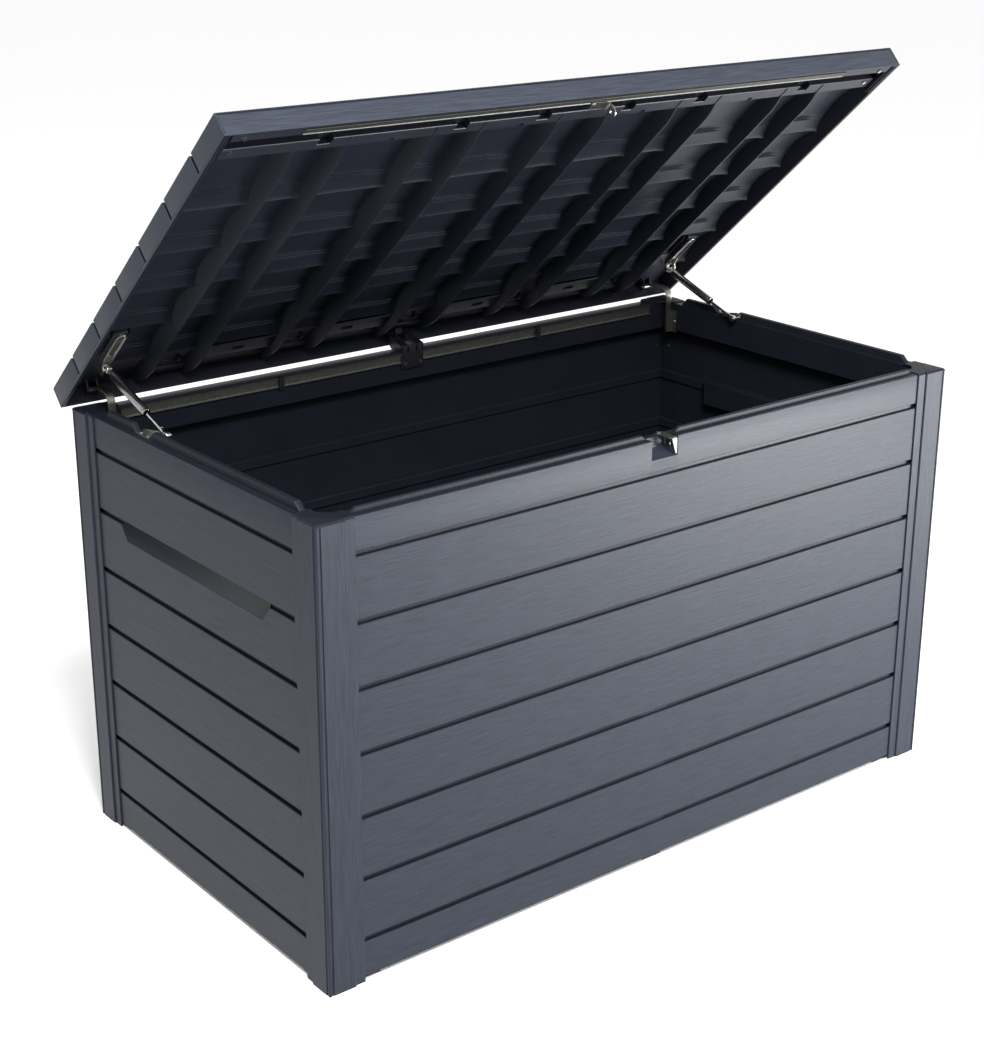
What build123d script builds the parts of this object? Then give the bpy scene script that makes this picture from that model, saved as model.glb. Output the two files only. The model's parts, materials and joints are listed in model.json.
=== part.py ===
"""Deck storage box: boarded resin body on corner posts, and a planked lid held open by two gas struts.

Millimetres. +X runs along the long side, -Y faces the front and +Z is up.
The origin is on the ground, under the middle of the body.
The lid's pieces are drawn shut and then swung up to the rest pose, which is the lid open on its struts.
"""

import os
from math import atan2, cos, degrees, hypot, radians, sin

from build123d import *

# ---- driving dimensions -------------------------------------------------------------------------

BODY_WIDTH = 1434.0
BODY_DEPTH = 784.0
POST_HEIGHT = 810.0
RIM_HEIGHT = 808.0
REAR_RIM_HEIGHT = 806.0
PANEL_BOTTOM = 8.0

POST_LEG_X = 73.0
POST_LEG_Y = 71.0
POST_STRIP = 20.0
POST_WALL = 6.0
POST_STEP = 3.0
POST_CAP = 2.0
POST_BEAD_GROOVE = 1.5

SKIN = 6.0
GROOVE_WIDTH = 5.0
GROOVE_DEPTH = 4.5
BACK_RIB = 4.0
BOARD_PITCH = 111.7
TOP_GROOVE = 746.8
GROOVES = 7

RIM_WIDTH = 31.0
RIM_PLATE = 4.0
FLANGE_DROP = 58.0
SIDE_LIP_IN, SIDE_LIP_OUT = 686.0, 698.0
SIDE_LIP_TOP = 822.0
SIDE_LIP_FRONT, SIDE_LIP_REAR = -320.0, 303.0
LIP_NOTCH_FRONT, LIP_NOTCH_REAR = 145.0, 192.0
FRONT_LIP_OUT, FRONT_LIP_IN = 374.0, 366.0
FRONT_LIP_TOP = 817.0
FRONT_LIP_HALF = 642.0

HOLD_TOP = 635.0
HOLD_BOTTOM = 604.0
HOLD_HALF_TOP, HOLD_HALF_BOTTOM = 244.0, 222.0
HOLD_DEPTH = 22.0
HOLD_ROOF = 650.0
HOLD_WALL = 3.0

POCKET_LEFT, POCKET_RIGHT = -38.0, 22.0
POCKET_FLOOR = 774.0
POCKET_DEPTH = 15.0
POCKET_WALL = 3.0

FLOOR_BOTTOM, FLOOR_TOP = 12.0, 17.0
FLOOR_RIB = 3.0
FLOOR_RIB_BOTTOM = 4.0

LID_WIDTH = 1470.0
LID_DEPTH = 820.0
LID_HEIGHT = 41.0
LID_REAR = 413.0
LID_UNDERSIDE = 812.0
LID_SKIN = 2.5
LID_SKIRT = 3.0
LID_OPEN = 42.0
PLANK_JOINTS = (106.0, 230.0, 346.0, 465.0, 585.0, 710.0)
PLANK_GAP = 6.0
PLANK_GAP_DEPTH = 4.0
FIN_PLACES = (54.0, 218.0, 315.0, 483.0, 579.0)
FIN_WALL = 3.0
FIN_CLEAR = 2.0
RIDGE_CLEAR, OUTER_RIDGE_CLEAR = 20.0, 25.0
SHELF_CLEAR = 10.0
GUTTER_CLEAR = 22.0
SHELF_START, SHELF_END = 745.0, 771.0
FLANGE_START = 791.0
REAR_SHELF_START, REAR_SHELF_END = 62.0, 102.0
REAR_SHELF_CLEAR = 17.0
FRONT_SLOTS = (94.0, 266.0, 528.0)
REAR_SLOTS = (158.0, 399.0)
WEB = 3.0

PIVOT_Y, PIVOT_Z = 403.0, 832.0
PIN_RADIUS = 3.0
PIN_CLEARANCE = 0.05
KNUCKLE_RADIUS = 6.0
RAIL_HALF = 640.0
ARM_X = 671.0
ARM_WIDTH = 14.0
ARM_WALL = 3.0
ARM_Y = 327.5
ARM_BOTTOM = 745.0
EAR_GAP = 1.0
EAR_WALL = 3.5
BRACKET_HALF = 27.0
BRACKET_TONGUE = 8.0

STRUT_X = 671.0
STRUT_FOOT_Y, STRUT_FOOT_Z = 131.0, 812.0
STRUT_TOP_S, STRUT_TOP_N = 96.0, 12.0
STRUT_BOSS_CLEAR = 24.0
STUD_RADIUS = 3.5
EYE_RADIUS = 7.0
EYE_WIDTH = 8.0
EAR_IN, EAR_OUT = 682.5, 685.0
TUBE_RADIUS, TUBE_BORE = 8.0, 6.6
TUBE_START, TUBE_END = 17.0, 143.0
ROD_RADIUS = 3.0
ROD_LENGTH = 160.0
ROD_FITTING = 22.0
TUBE_NECK, ROD_NECK = 3.4, 3.7

LUG_Y, LUG_Z = -383.0, 794.0
EYE_HOLE = 4.0
LUG_WALL = 2.0
BODY_LUG_X = 9.0
LID_LUG_X = 14.0
SHEET = 1.6

SCREW_HEAD, SCREW_HEAD_HEIGHT, SCREW_SHANK = 4.0, 2.0, 1.9

# ---- worked-out places --------------------------------------------------------------------------

HALF_X, HALF_Y = BODY_WIDTH / 2, BODY_DEPTH / 2
FACE_X, FACE_Y = HALF_X - POST_WALL, HALF_Y - POST_WALL
RIM_IN_X, RIM_IN_Y = FACE_X - RIM_WIDTH, FACE_Y - RIM_WIDTH
LID_FRONT = LID_REAR - LID_DEPTH
ROOF = LID_HEIGHT - LID_SKIN - PLANK_GAP_DEPTH
LID_ROOF = LID_UNDERSIDE + ROOF
LID_HALF = LID_WIDTH / 2
SKIRT_IN = LID_HALF - LID_SKIRT - PLANK_GAP_DEPTH
PIVOT_AXIS = Axis((0, PIVOT_Y, PIVOT_Z), (1, 0, 0))
STRUT_TOP_Y = LID_REAR - STRUT_TOP_S
STRUT_TOP_Z = LID_UNDERSIDE + STRUT_TOP_N
GROOVE_HEIGHTS = [TOP_GROOVE - BOARD_PITCH * i for i in range(GROOVES)]


# ---- small helpers ------------------------------------------------------------------------------

def block(x0, x1, y0, y1, z0, z1):
    """A box between two corners, given in any order."""
    size = (abs(x1 - x0), abs(y1 - y0), abs(z1 - z0))
    middle = ((x0 + x1) / 2, (y0 + y1) / 2, (z0 + z1) / 2)
    return Pos(*middle) * Box(*size)


def prism_yz(points, x0, x1):
    """A prism along X over an outline of (y, z) points."""
    face = make_face(Polyline(*[(0, y, z) for y, z in points], close=True))
    return Pos(min(x0, x1), 0, 0) * extrude(face, amount=abs(x1 - x0), dir=(1, 0, 0))


def prism_xz(points, y0, y1):
    """A prism along Y over an outline of (x, z) points."""
    face = make_face(Polyline(*[(x, 0, z) for x, z in points], close=True))
    return Pos(0, min(y0, y1), 0) * extrude(face, amount=abs(y1 - y0), dir=(0, 1, 0))


def prism_xy(points, z0, z1):
    """A prism along Z over an outline of (x, y) points."""
    face = make_face(Polyline(*[(x, y, 0) for x, y in points], close=True))
    return Pos(0, 0, min(z0, z1)) * extrude(face, amount=abs(z1 - z0), dir=(0, 0, 1))


def rod_x(x0, x1, y, z, radius):
    """A round bar along X."""
    return Pos((x0 + x1) / 2, y, z) * Rot(0, 90, 0) * Cylinder(radius, abs(x1 - x0))


def screw(x, y, z, direction, length):
    """A pan-head screw whose head's underside is at the point, and whose shank runs along direction."""
    along = Vector(*direction).normalized()
    place = Plane(origin=(x, y, z), z_dir=along)
    shank = Pos(0, 0, length / 2) * Cylinder(SCREW_SHANK, length)
    head = Pos(0, 0, -SCREW_HEAD_HEIGHT / 2) * Cylinder(SCREW_HEAD, SCREW_HEAD_HEIGHT)
    return place * (shank + head)


def mirrored(shape):
    """The same shape on the other side of the box."""
    return mirror(shape, about=Plane.YZ)


def opened(shape):
    """A lid piece swung from shut to the rest pose."""
    return shape.rotate(PIVOT_AXIS, -LID_OPEN)


def lid_block(x0, x1, s0, s1, n0, n1):
    """A box in the shut lid: s runs forward from its rear edge, n up from its underside."""
    return block(x0, x1, LID_REAR - s0, LID_REAR - s1, LID_UNDERSIDE + n0, LID_UNDERSIDE + n1)


# ---- body panels --------------------------------------------------------------------------------

def boarded_wall(half_length, inner_half, face, rim_height, rim_half):
    """A front-facing wall: grooved skin, a rib behind each groove, the rim plate and its inner flange."""
    wall = block(-half_length, half_length, -face, -face + SKIN, PANEL_BOTTOM, rim_height)
    rim_in = -face + RIM_WIDTH
    wall += block(-rim_half, rim_half, -face, rim_in, rim_height - RIM_PLATE, rim_height)
    wall += block(-rim_half, rim_half, rim_in - RIM_PLATE, rim_in, rim_height - FLANGE_DROP, rim_height)
    for height in GROOVE_HEIGHTS:
        low, high = height - 2 * GROOVE_WIDTH, height + 2 * GROOVE_WIDTH
        wall += block(-inner_half, inner_half, -face + SKIN, -face + SKIN + BACK_RIB, low, high)
    return wall


def groove_cuts(half_length, face):
    """The grooves between the boards, as one group of bars to cut away."""
    cuts = []
    for height in GROOVE_HEIGHTS:
        low, high = height - GROOVE_WIDTH / 2, height + GROOVE_WIDTH / 2
        cuts.append(block(-half_length, half_length, -face - 1, -face + GROOVE_DEPTH, low, high))
    return cuts


def front_lip(x0, x1):
    """A length of the front rim's raised lip, with sloped ends."""
    drop = FRONT_LIP_TOP - RIM_HEIGHT
    outline = [(x0, RIM_HEIGHT), (x1, RIM_HEIGHT), (x1 - drop, FRONT_LIP_TOP), (x0 + drop, FRONT_LIP_TOP)]
    return prism_xz(outline, -FRONT_LIP_OUT, -FRONT_LIP_IN)


def long_wall(rim_height):
    """A front or rear wall, whose rim stops short of the side walls' ribs."""
    inner_half = FACE_X - SKIN
    return boarded_wall(FACE_X, inner_half, FACE_Y, rim_height, inner_half - BACK_RIB)


def front_panel():
    wall = long_wall(RIM_HEIGHT)
    back = -FACE_Y + POCKET_DEPTH
    wall += block(POCKET_LEFT - POCKET_WALL, POCKET_RIGHT + POCKET_WALL, -FACE_Y + SKIN,
                  back + POCKET_WALL, POCKET_FLOOR - POCKET_WALL, RIM_HEIGHT)
    wall += front_lip(-FRONT_LIP_HALF, POCKET_LEFT - POCKET_WALL)
    wall += front_lip(POCKET_RIGHT + POCKET_WALL, FRONT_LIP_HALF)
    wall -= block(POCKET_LEFT, POCKET_RIGHT, -FACE_Y - 1, back, POCKET_FLOOR, RIM_HEIGHT + 1)
    return wall - groove_cuts(FACE_X, FACE_Y)


def rear_panel():
    wall = long_wall(REAR_RIM_HEIGHT) - groove_cuts(FACE_X, FACE_Y)
    return wall.rotate(Axis.Z, 180)


def hand_hold(half_top, half_bottom, top, bottom, depth):
    """A tapered tray in a front-facing wall, from the face inwards."""
    outline = [(-half_top, top), (-half_bottom, bottom), (half_bottom, bottom), (half_top, top)]
    return prism_xz(outline, -FACE_X - 1, -FACE_X + depth)


def left_side_panel():
    """The left wall, drawn facing the front and then turned to face -X."""
    half_length = FACE_Y - SKIN
    wall = boarded_wall(half_length, half_length - BACK_RIB, FACE_X, RIM_HEIGHT, RIM_IN_Y)
    wall += hold_housing()
    wall += side_lip(SIDE_LIP_FRONT, LIP_NOTCH_FRONT)
    wall += side_lip(LIP_NOTCH_REAR, SIDE_LIP_REAR)
    wall -= hand_hold(HOLD_HALF_TOP, HOLD_HALF_BOTTOM, HOLD_TOP, HOLD_BOTTOM, HOLD_DEPTH)
    wall -= block(-HOLD_HALF_BOTTOM, HOLD_HALF_BOTTOM, -FACE_X + SKIN, -FACE_X + HOLD_DEPTH,
                  HOLD_BOTTOM, HOLD_ROOF)
    wall -= groove_cuts(half_length, FACE_X)
    return wall.rotate(Axis.Z, -90)


def hold_housing():
    """The closed back of the hand-hold, inside the wall."""
    half = HOLD_HALF_TOP + HOLD_WALL
    return block(-half, half, -FACE_X + SKIN, -FACE_X + HOLD_DEPTH + HOLD_WALL,
                 HOLD_BOTTOM - HOLD_WALL, HOLD_ROOF + HOLD_WALL)


def side_lip(front, rear):
    """A length of a side rim's raised lip, in a front-facing wall whose -X end becomes the rear."""
    drop = (SIDE_LIP_TOP - RIM_HEIGHT) * 0.6
    outline = [(-rear, RIM_HEIGHT), (-front, RIM_HEIGHT),
               (-front - drop, SIDE_LIP_TOP), (-rear + drop, SIDE_LIP_TOP)]
    return prism_xz(outline, -SIDE_LIP_OUT, -SIDE_LIP_IN)


def floor_panel():
    """The floor tray: a plate on ribs."""
    half_x, half_y = FACE_X - SKIN, FACE_Y - SKIN
    tray = block(-half_x, half_x, -half_y, half_y, FLOOR_BOTTOM, FLOOR_TOP)
    for x in (-600, -400, -200, 0, 200, 400, 600):
        tray += block(x - FLOOR_RIB / 2, x + FLOOR_RIB / 2, -half_y, half_y, FLOOR_RIB_BOTTOM, FLOOR_BOTTOM)
    for y in (-300, -150, 0, 150, 300):
        tray += block(-half_x, half_x, y - FLOOR_RIB / 2, y + FLOOR_RIB / 2, FLOOR_RIB_BOTTOM, FLOOR_BOTTOM)
    return tray


def floor_feet(floor):
    """The feet under the floor, at its edges, its ends and its middle, notched over the floor's ribs."""
    places = [(x, y, 22) for x in (-630, 0, 630) for y in (-366, 0, 366)]
    places += [(x, y, 7) for x in (-698, 698) for y in (-310, 310)]
    return [block(x - half, x + half, y - 12, y + 12, 0, FLOOR_BOTTOM) - floor for x, y, half in places]


def post():
    """The front-left corner post: two raised legs, each with a lower strip beside its panel, and a cap."""
    strip_y, strip_x = -HALF_Y + POST_STEP, -HALF_X + POST_STEP
    leg_x, leg_y = -HALF_X + POST_LEG_X, -HALF_Y + POST_LEG_Y
    raised_x, raised_y = leg_x - POST_STRIP, leg_y - POST_STRIP
    legs = block(-HALF_X, raised_x, -HALF_Y, -FACE_Y, 0, POST_HEIGHT)
    legs += block(-HALF_X, -FACE_X, -HALF_Y, raised_y, 0, POST_HEIGHT)
    legs += block(raised_x, leg_x, strip_y, -FACE_Y, PANEL_BOTTOM + 2, POST_HEIGHT)
    legs += block(strip_x, -FACE_X, raised_y, leg_y, PANEL_BOTTOM + 2, POST_HEIGHT)
    outline = [(-HALF_X, -HALF_Y), (leg_x, -HALF_Y + POST_STEP), (leg_x, -RIM_IN_Y),
               (-RIM_IN_X + 16, -RIM_IN_Y), (-RIM_IN_X, -RIM_IN_Y + 16), (-RIM_IN_X, leg_y),
               (-HALF_X + POST_STEP, leg_y)]
    legs += prism_xy(outline, POST_HEIGHT - POST_CAP, POST_HEIGHT)
    for place in ((-HALF_X + 9, -HALF_Y), (-HALF_X, -HALF_Y + 9)):
        legs -= Pos(*place, POST_HEIGHT / 2) * Cylinder(POST_BEAD_GROOVE, POST_HEIGHT + 2)
    return chamfered_corner(legs)


def chamfered_corner(legs):
    """Takes the sharp edge off the post's outer corner."""
    cut = 2.5
    corner = [(-HALF_X - 1, -HALF_Y - 1), (-HALF_X + cut, -HALF_Y - 1), (-HALF_X - 1, -HALF_Y + cut)]
    return legs - prism_xy(corner, -1, POST_HEIGHT + 1)


# ---- body metalwork -----------------------------------------------------------------------------

def rear_rail(x0, x1):
    """A length of the galvanised channel that stiffens the rear rim, on the face of its inner flange."""
    back = RIM_IN_Y
    low, high = REAR_RIM_HEIGHT - 22, REAR_RIM_HEIGHT - 4
    rail = block(x0, x1, back - SHEET, back, low, high)
    rail += block(x0, x1, back - 5, back, high - SHEET, high)
    return rail + block(x0, x1, back - 5, back, low, low + SHEET)


def rail_clip(x):
    """A dark clip hooked over the rail."""
    back = RIM_IN_Y
    clip = block(x - 5, x + 5, back - 7, back - 5, REAR_RIM_HEIGHT - 26, REAR_RIM_HEIGHT - 1)
    clip += block(x - 5, x + 5, back - 7, back, REAR_RIM_HEIGHT - 4, REAR_RIM_HEIGHT - 1)
    return clip + block(x - 5, x + 5, back - 7, back, REAR_RIM_HEIGHT - 26, REAR_RIM_HEIGHT - 22)


def arm_centre_line():
    """The gooseneck's middle line in the side view, as one wire."""
    up = Line((0, ARM_Y, ARM_BOTTOM), (0, ARM_Y, 822))
    bend = TangentArc((0, ARM_Y, 822), (0, ARM_Y + 20, 842), tangent=(0, 0, 1))
    over = TangentArc(bend @ 1, (0, PIVOT_Y - 4, PIVOT_Z + 3), tangent=bend % 1)
    return up, bend, over


def hinge_arm():
    """The left gooseneck: a strap up the inside of the wall and over the rim to the lid's hinge pin."""
    up, bend, over = arm_centre_line()
    strap = Plane(origin=up @ 0, z_dir=(0, 0, 1)) * Rectangle(ARM_WIDTH, ARM_WALL)
    arm = sweep(strap, path=Wire([up, bend, over]))
    arm += rod_x(-ARM_WIDTH / 2, ARM_WIDTH / 2, PIVOT_Y, PIVOT_Z, KNUCKLE_RADIUS)
    arm = Pos(-ARM_X, 0, 0) * arm
    arm += block(-RIM_IN_X, -RIM_IN_X + SHEET + 0.4, ARM_Y - 18, ARM_Y + 18, ARM_BOTTOM, 792)
    arm += block(-RIM_IN_X, -ARM_X, ARM_Y - ARM_WALL / 2, ARM_Y + ARM_WALL / 2, ARM_BOTTOM, 792)
    bore = rod_x(-ARM_X - ARM_WIDTH, -ARM_X + ARM_WIDTH, PIVOT_Y, PIVOT_Z, PIN_RADIUS + PIN_CLEARANCE)
    return arm - bore


def hinge_arm_screws():
    """The left arm's two screws, into the side wall's flange."""
    face = -RIM_IN_X + SHEET + 0.4
    return [screw(face, ARM_Y + dy, 768, (-1, 0, 0), 5.5) for dy in (-11, 11)]


def centre_bracket():
    """The moulded centre hinge: a plate on the rear flange and two ribbed arms to the hinge pin."""
    front = RIM_IN_Y - 4
    plate = block(-BRACKET_HALF, BRACKET_HALF, front, RIM_IN_Y, 770, 818)
    arm = [(front, 800), (RIM_IN_Y, REAR_RIM_HEIGHT), (FACE_Y, REAR_RIM_HEIGHT), (391, 811),
           (405, 827), (398, 836), (380, 824), (front, 818)]
    bracket = plate
    for x0, x1 in ((-BRACKET_HALF, -BRACKET_TONGUE - EAR_GAP), (BRACKET_TONGUE + EAR_GAP, BRACKET_HALF)):
        bracket += prism_yz(arm, x0, x1)
        bracket += rod_x(x0, x1, PIVOT_Y, PIVOT_Z, KNUCKLE_RADIUS)
    return bracket - rod_x(-BRACKET_HALF - 1, BRACKET_HALF + 1, PIVOT_Y, PIVOT_Z, PIN_RADIUS + PIN_CLEARANCE)


def centre_bracket_screws():
    return [screw(x, RIM_IN_Y - 4, 782, (0, 1, 0), 8) for x in (-18, 18)]


def front_catch():
    """The steel catch on the front rim: a top leaf, a short front leaf and the drilled lug."""
    top = block(-8, BODY_LUG_X + LUG_WALL, LUG_Y - 12, -RIM_IN_Y - 1, RIM_HEIGHT, RIM_HEIGHT + SHEET)
    front = prism_xz([(1, RIM_HEIGHT + SHEET), (BODY_LUG_X + LUG_WALL, RIM_HEIGHT + SHEET),
                      (BODY_LUG_X + LUG_WALL, 780), (BODY_LUG_X - 1, 783)], LUG_Y - 12, LUG_Y - 12 + SHEET)
    lug = prism_yz([(LUG_Y - 12, RIM_HEIGHT + SHEET), (LUG_Y - 12, 786), (LUG_Y - 8, 780), (LUG_Y + 8, 780),
                    (LUG_Y + 11, 786), (LUG_Y + 11, RIM_HEIGHT + SHEET)], BODY_LUG_X, BODY_LUG_X + LUG_WALL)
    hole = rod_x(BODY_LUG_X - 1, BODY_LUG_X + LUG_WALL + 1, LUG_Y, LUG_Z, EYE_HOLE)
    return top + front + lug - hole


def catch_screws():
    return [screw(-1, -RIM_IN_Y - 5.5, RIM_HEIGHT + SHEET, (0, 0, -1), 5)]


def strut_foot():
    """The left strut's foot: a leaf in the lip's notch and an ear that carries the ball stud."""
    y0, y1 = LIP_NOTCH_FRONT + 2, LIP_NOTCH_REAR - 2
    leaf = block(-EAR_OUT - 14, -EAR_IN, y0, y1, RIM_HEIGHT, RIM_HEIGHT + SHEET)
    ear = prism_yz([(STRUT_FOOT_Y - 8, 808.2), (y1, 808.2), (y1, 812), (STRUT_FOOT_Y + 8, 822),
                    (STRUT_FOOT_Y - 8, 820)], -EAR_OUT, -EAR_IN)
    return leaf + ear


def strut_foot_screws():
    return [screw(-EAR_OUT - 8, y, RIM_HEIGHT + SHEET, (0, 0, -1), 6) for y in (156, 181)]


def stud(y, z):
    """The left ball stud at a strut's end: a collared pin from the ear inwards."""
    pin = rod_x(-EAR_IN, -STRUT_X + EYE_WIDTH / 2 + 2, y, z, STUD_RADIUS)
    return pin + rod_x(-STRUT_X + EYE_WIDTH / 2 + 0.3, -STRUT_X + EYE_WIDTH / 2 + 2, y, z, STUD_RADIUS + 1.5)


def post_screws():
    """Screws from inside the box, two at each joint of a panel and a post."""
    screws = []
    for sx in (-1, 1):
        for sy in (-1, 1):
            for z in (180, 480, 700):
                screws.append(screw(sx * (FACE_X - SKIN - 14), sy * (FACE_Y - SKIN), z, (0, sy, 0), 9))
                screws.append(screw(sx * (FACE_X - SKIN), sy * (FACE_Y - SKIN - 20), z, (sx, 0, 0), 9))
    return screws


# ---- lid ----------------------------------------------------------------------------------------

def plank_gaps():
    """Cuts between the planks, across the top and down both ends."""
    gaps = []
    bottom = LID_HEIGHT - PLANK_GAP_DEPTH
    for joint in PLANK_JOINTS:
        s0, s1 = joint - PLANK_GAP / 2, joint + PLANK_GAP / 2
        gaps.append(lid_block(-LID_HALF - 1, LID_HALF + 1, s0, s1, bottom, LID_HEIGHT + 1))
        for side in (-1, 1):
            end = side * (LID_HALF - PLANK_GAP_DEPTH)
            gaps.append(lid_block(end, side * (LID_HALF + 1), s0, s1, 4, LID_HEIGHT + 1))
    return gaps


def lid_deck():
    """The planked top, with a ridge under each joint."""
    deck = lid_block(-LID_HALF, LID_HALF, 0, LID_DEPTH, ROOF, LID_HEIGHT)
    outer = FIN_PLACES[-1]
    for joint in PLANK_JOINTS:
        s0, s1 = joint - 2, joint + 2
        deck += lid_block(-outer, outer, s0, s1, RIDGE_CLEAR, ROOF)
        for side in (-1, 1):
            deck += lid_block(side * outer, side * SKIRT_IN, s0, s1, OUTER_RIDGE_CLEAR, ROOF)
    return deck - plank_gaps()


def lid_skirts():
    """The rear skirt and the two end skirts, as separate solids under the top."""
    rear = lid_block(-SKIRT_IN, SKIRT_IN, 0, LID_SKIRT, 0, ROOF)
    left = lid_block(-LID_HALF, -SKIRT_IN, 0, LID_DEPTH, 0, ROOF) - plank_gaps()
    return [rear, left, mirrored(left)]


def lid_fin(x):
    """One front-to-back stiffening fin, cut back where it meets the front shelf."""
    low = LID_UNDERSIDE + FIN_CLEAR
    shelf = LID_UNDERSIDE + SHELF_CLEAR
    outline = [(LID_REAR - 30, LID_ROOF), (LID_REAR - 30, LID_UNDERSIDE + REAR_SHELF_CLEAR),
               (LID_REAR - 60, low), (LID_REAR - 720, low),
               (LID_REAR - SHELF_START, shelf), (LID_REAR - SHELF_START, LID_ROOF)]
    return prism_yz(outline, x - FIN_WALL / 2, x + FIN_WALL / 2)


def lid_front_section():
    """The lid's front: its skirt, and the fold of flange, gutter for the rim's lip, and slotted shelf."""
    half = SKIRT_IN
    section = lid_block(-half, half, LID_DEPTH - LID_SKIRT, LID_DEPTH, 0, ROOF)
    section += lid_block(-half, half, FLANGE_START, LID_DEPTH - LID_SKIRT, 2, 2 + WEB)
    section += lid_block(-half, half, FLANGE_START, FLANGE_START + WEB, 0, GUTTER_CLEAR + WEB)
    section += lid_block(-half, half, SHELF_END - WEB, FLANGE_START + WEB, GUTTER_CLEAR, GUTTER_CLEAR + WEB)
    section += lid_block(-half, half, SHELF_END - WEB, SHELF_END, SHELF_CLEAR, GUTTER_CLEAR + WEB)
    section += lid_block(-half, half, SHELF_START, SHELF_END, SHELF_CLEAR, SHELF_CLEAR + WEB)
    section += lid_block(-half, half, SHELF_START, SHELF_START + WEB, SHELF_CLEAR, ROOF)
    return section - shelf_slots(FRONT_SLOTS, 752, 763, SHELF_CLEAR)


def shelf_slots(places, s0, s1, clear):
    """Cuts for the row of short slots along a shelf, at the same places on both sides."""
    low, high = clear - 1, clear + WEB + 1
    return [lid_block(side * x - 11, side * x + 11, s0, s1, low, high) for x in places for side in (-1, 1)]


def lid_rear_shelves():
    """The slotted shelves along the rear, in the wide bays between fins."""
    shelves = []
    for left, right in ((FIN_PLACES[0], FIN_PLACES[1]), (FIN_PLACES[2], FIN_PLACES[3])):
        for side in (-1, 1):
            near, far = side * (left + FIN_WALL / 2), side * (right - FIN_WALL / 2)
            shelf = lid_block(near, far, REAR_SHELF_START, REAR_SHELF_END, REAR_SHELF_CLEAR,
                              REAR_SHELF_CLEAR + WEB)
            shelf += lid_block(near, far, REAR_SHELF_START, REAR_SHELF_START + WEB, REAR_SHELF_CLEAR, ROOF)
            shelves.append(shelf - shelf_slots(REAR_SLOTS, 76, 88, REAR_SHELF_CLEAR))
    return shelves


def hinge_ear(x0, x1):
    """A hinge ear of the lid between two X places, with room for the pin."""
    outline = [(LID_REAR - LID_SKIRT, LID_ROOF), (PIVOT_Y - 16, LID_ROOF), (PIVOT_Y - 7, PIVOT_Z - 2),
               (PIVOT_Y - 4, PIVOT_Z - 7), (LID_REAR - LID_SKIRT, PIVOT_Z - 7)]
    return prism_yz(outline, x0, x1)


def lid_hinge_ears():
    """The centre ear, and a pair at each end either side of the gooseneck."""
    ears = [hinge_ear(-BRACKET_TONGUE, BRACKET_TONGUE)]
    for side in (-1, 1):
        for near in (ARM_X - ARM_WIDTH / 2 - EAR_GAP - EAR_WALL, ARM_X + ARM_WIDTH / 2 + EAR_GAP):
            ears.append(hinge_ear(*sorted((side * near, side * (near + EAR_WALL)))))
    return ears


def lid_strut_bosses():
    """The bosses that carry the strut brackets, notched over the deck's ridges."""
    return [lid_block(side * 661, side * 689, 92, 202, STRUT_BOSS_CLEAR, ROOF) for side in (-1, 1)]


def lid_front_bar():
    """The galvanised bar let into the front flange."""
    return lid_block(-592, 592, 796, 806, 0, 2)


def lid_clasp():
    """The steel clasp under the lid's front: a screwed leaf and the drilled lug that hangs from it."""
    leaf = lid_block(-24, LID_LUG_X + LUG_WALL, 785, 803, -SHEET, 0)
    middle = LID_REAR - 796
    lug = block(LID_LUG_X, LID_LUG_X + LUG_WALL, middle - 9, middle + 9, LUG_Z, LID_UNDERSIDE)
    lug += rod_x(LID_LUG_X, LID_LUG_X + LUG_WALL, middle, LUG_Z, 9)
    return leaf + lug - rod_x(LID_LUG_X - 1, LID_LUG_X + LUG_WALL + 1, middle, LUG_Z, EYE_HOLE)


def clasp_screws():
    return [screw(x, LID_REAR - 798, LID_UNDERSIDE - SHEET, (0, 0, 1), 6) for x in (-18,)]


def corner_screws():
    """Screws through the front flange and the shelf at each end of the lid."""
    screws = []
    for side in (-1, 1):
        screws.append(screw(side * 693, LID_REAR - 803, LID_UNDERSIDE + 2, (0, 0, 1), 8))
        screws.append(screw(side * 697, LID_REAR - 757, LID_UNDERSIDE + SHELF_CLEAR, (0, 0, 1), 8))
    return screws


def strut_bracket():
    """The left stamped channel under the lid, with the ear that carries the strut's upper stud."""
    low = STRUT_BOSS_CLEAR - SHEET
    channel = lid_block(-684, -664, 92, 202, low, STRUT_BOSS_CLEAR)
    channel += lid_block(-684, -684 + SHEET, 96, 198, low - 4, low)
    channel += lid_block(-664 - SHEET, -664, 112, 198, low - 1.5, low)
    boss = LID_UNDERSIDE + STRUT_BOSS_CLEAR
    ear = prism_yz([(STRUT_TOP_Y - 34, boss), (STRUT_TOP_Y + 4, boss),
                    (STRUT_TOP_Y + 8, STRUT_TOP_Z + 3), (STRUT_TOP_Y + 6, STRUT_TOP_Z - 6),
                    (STRUT_TOP_Y - 6, STRUT_TOP_Z - 6)], -EAR_OUT, -EAR_IN)
    return channel + ear


def bracket_screws():
    seat = LID_UNDERSIDE + STRUT_BOSS_CLEAR - SHEET
    return [screw(-674, LID_REAR - s, seat, (0, 0, 1), 12) for s in (124, 190)]


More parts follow.
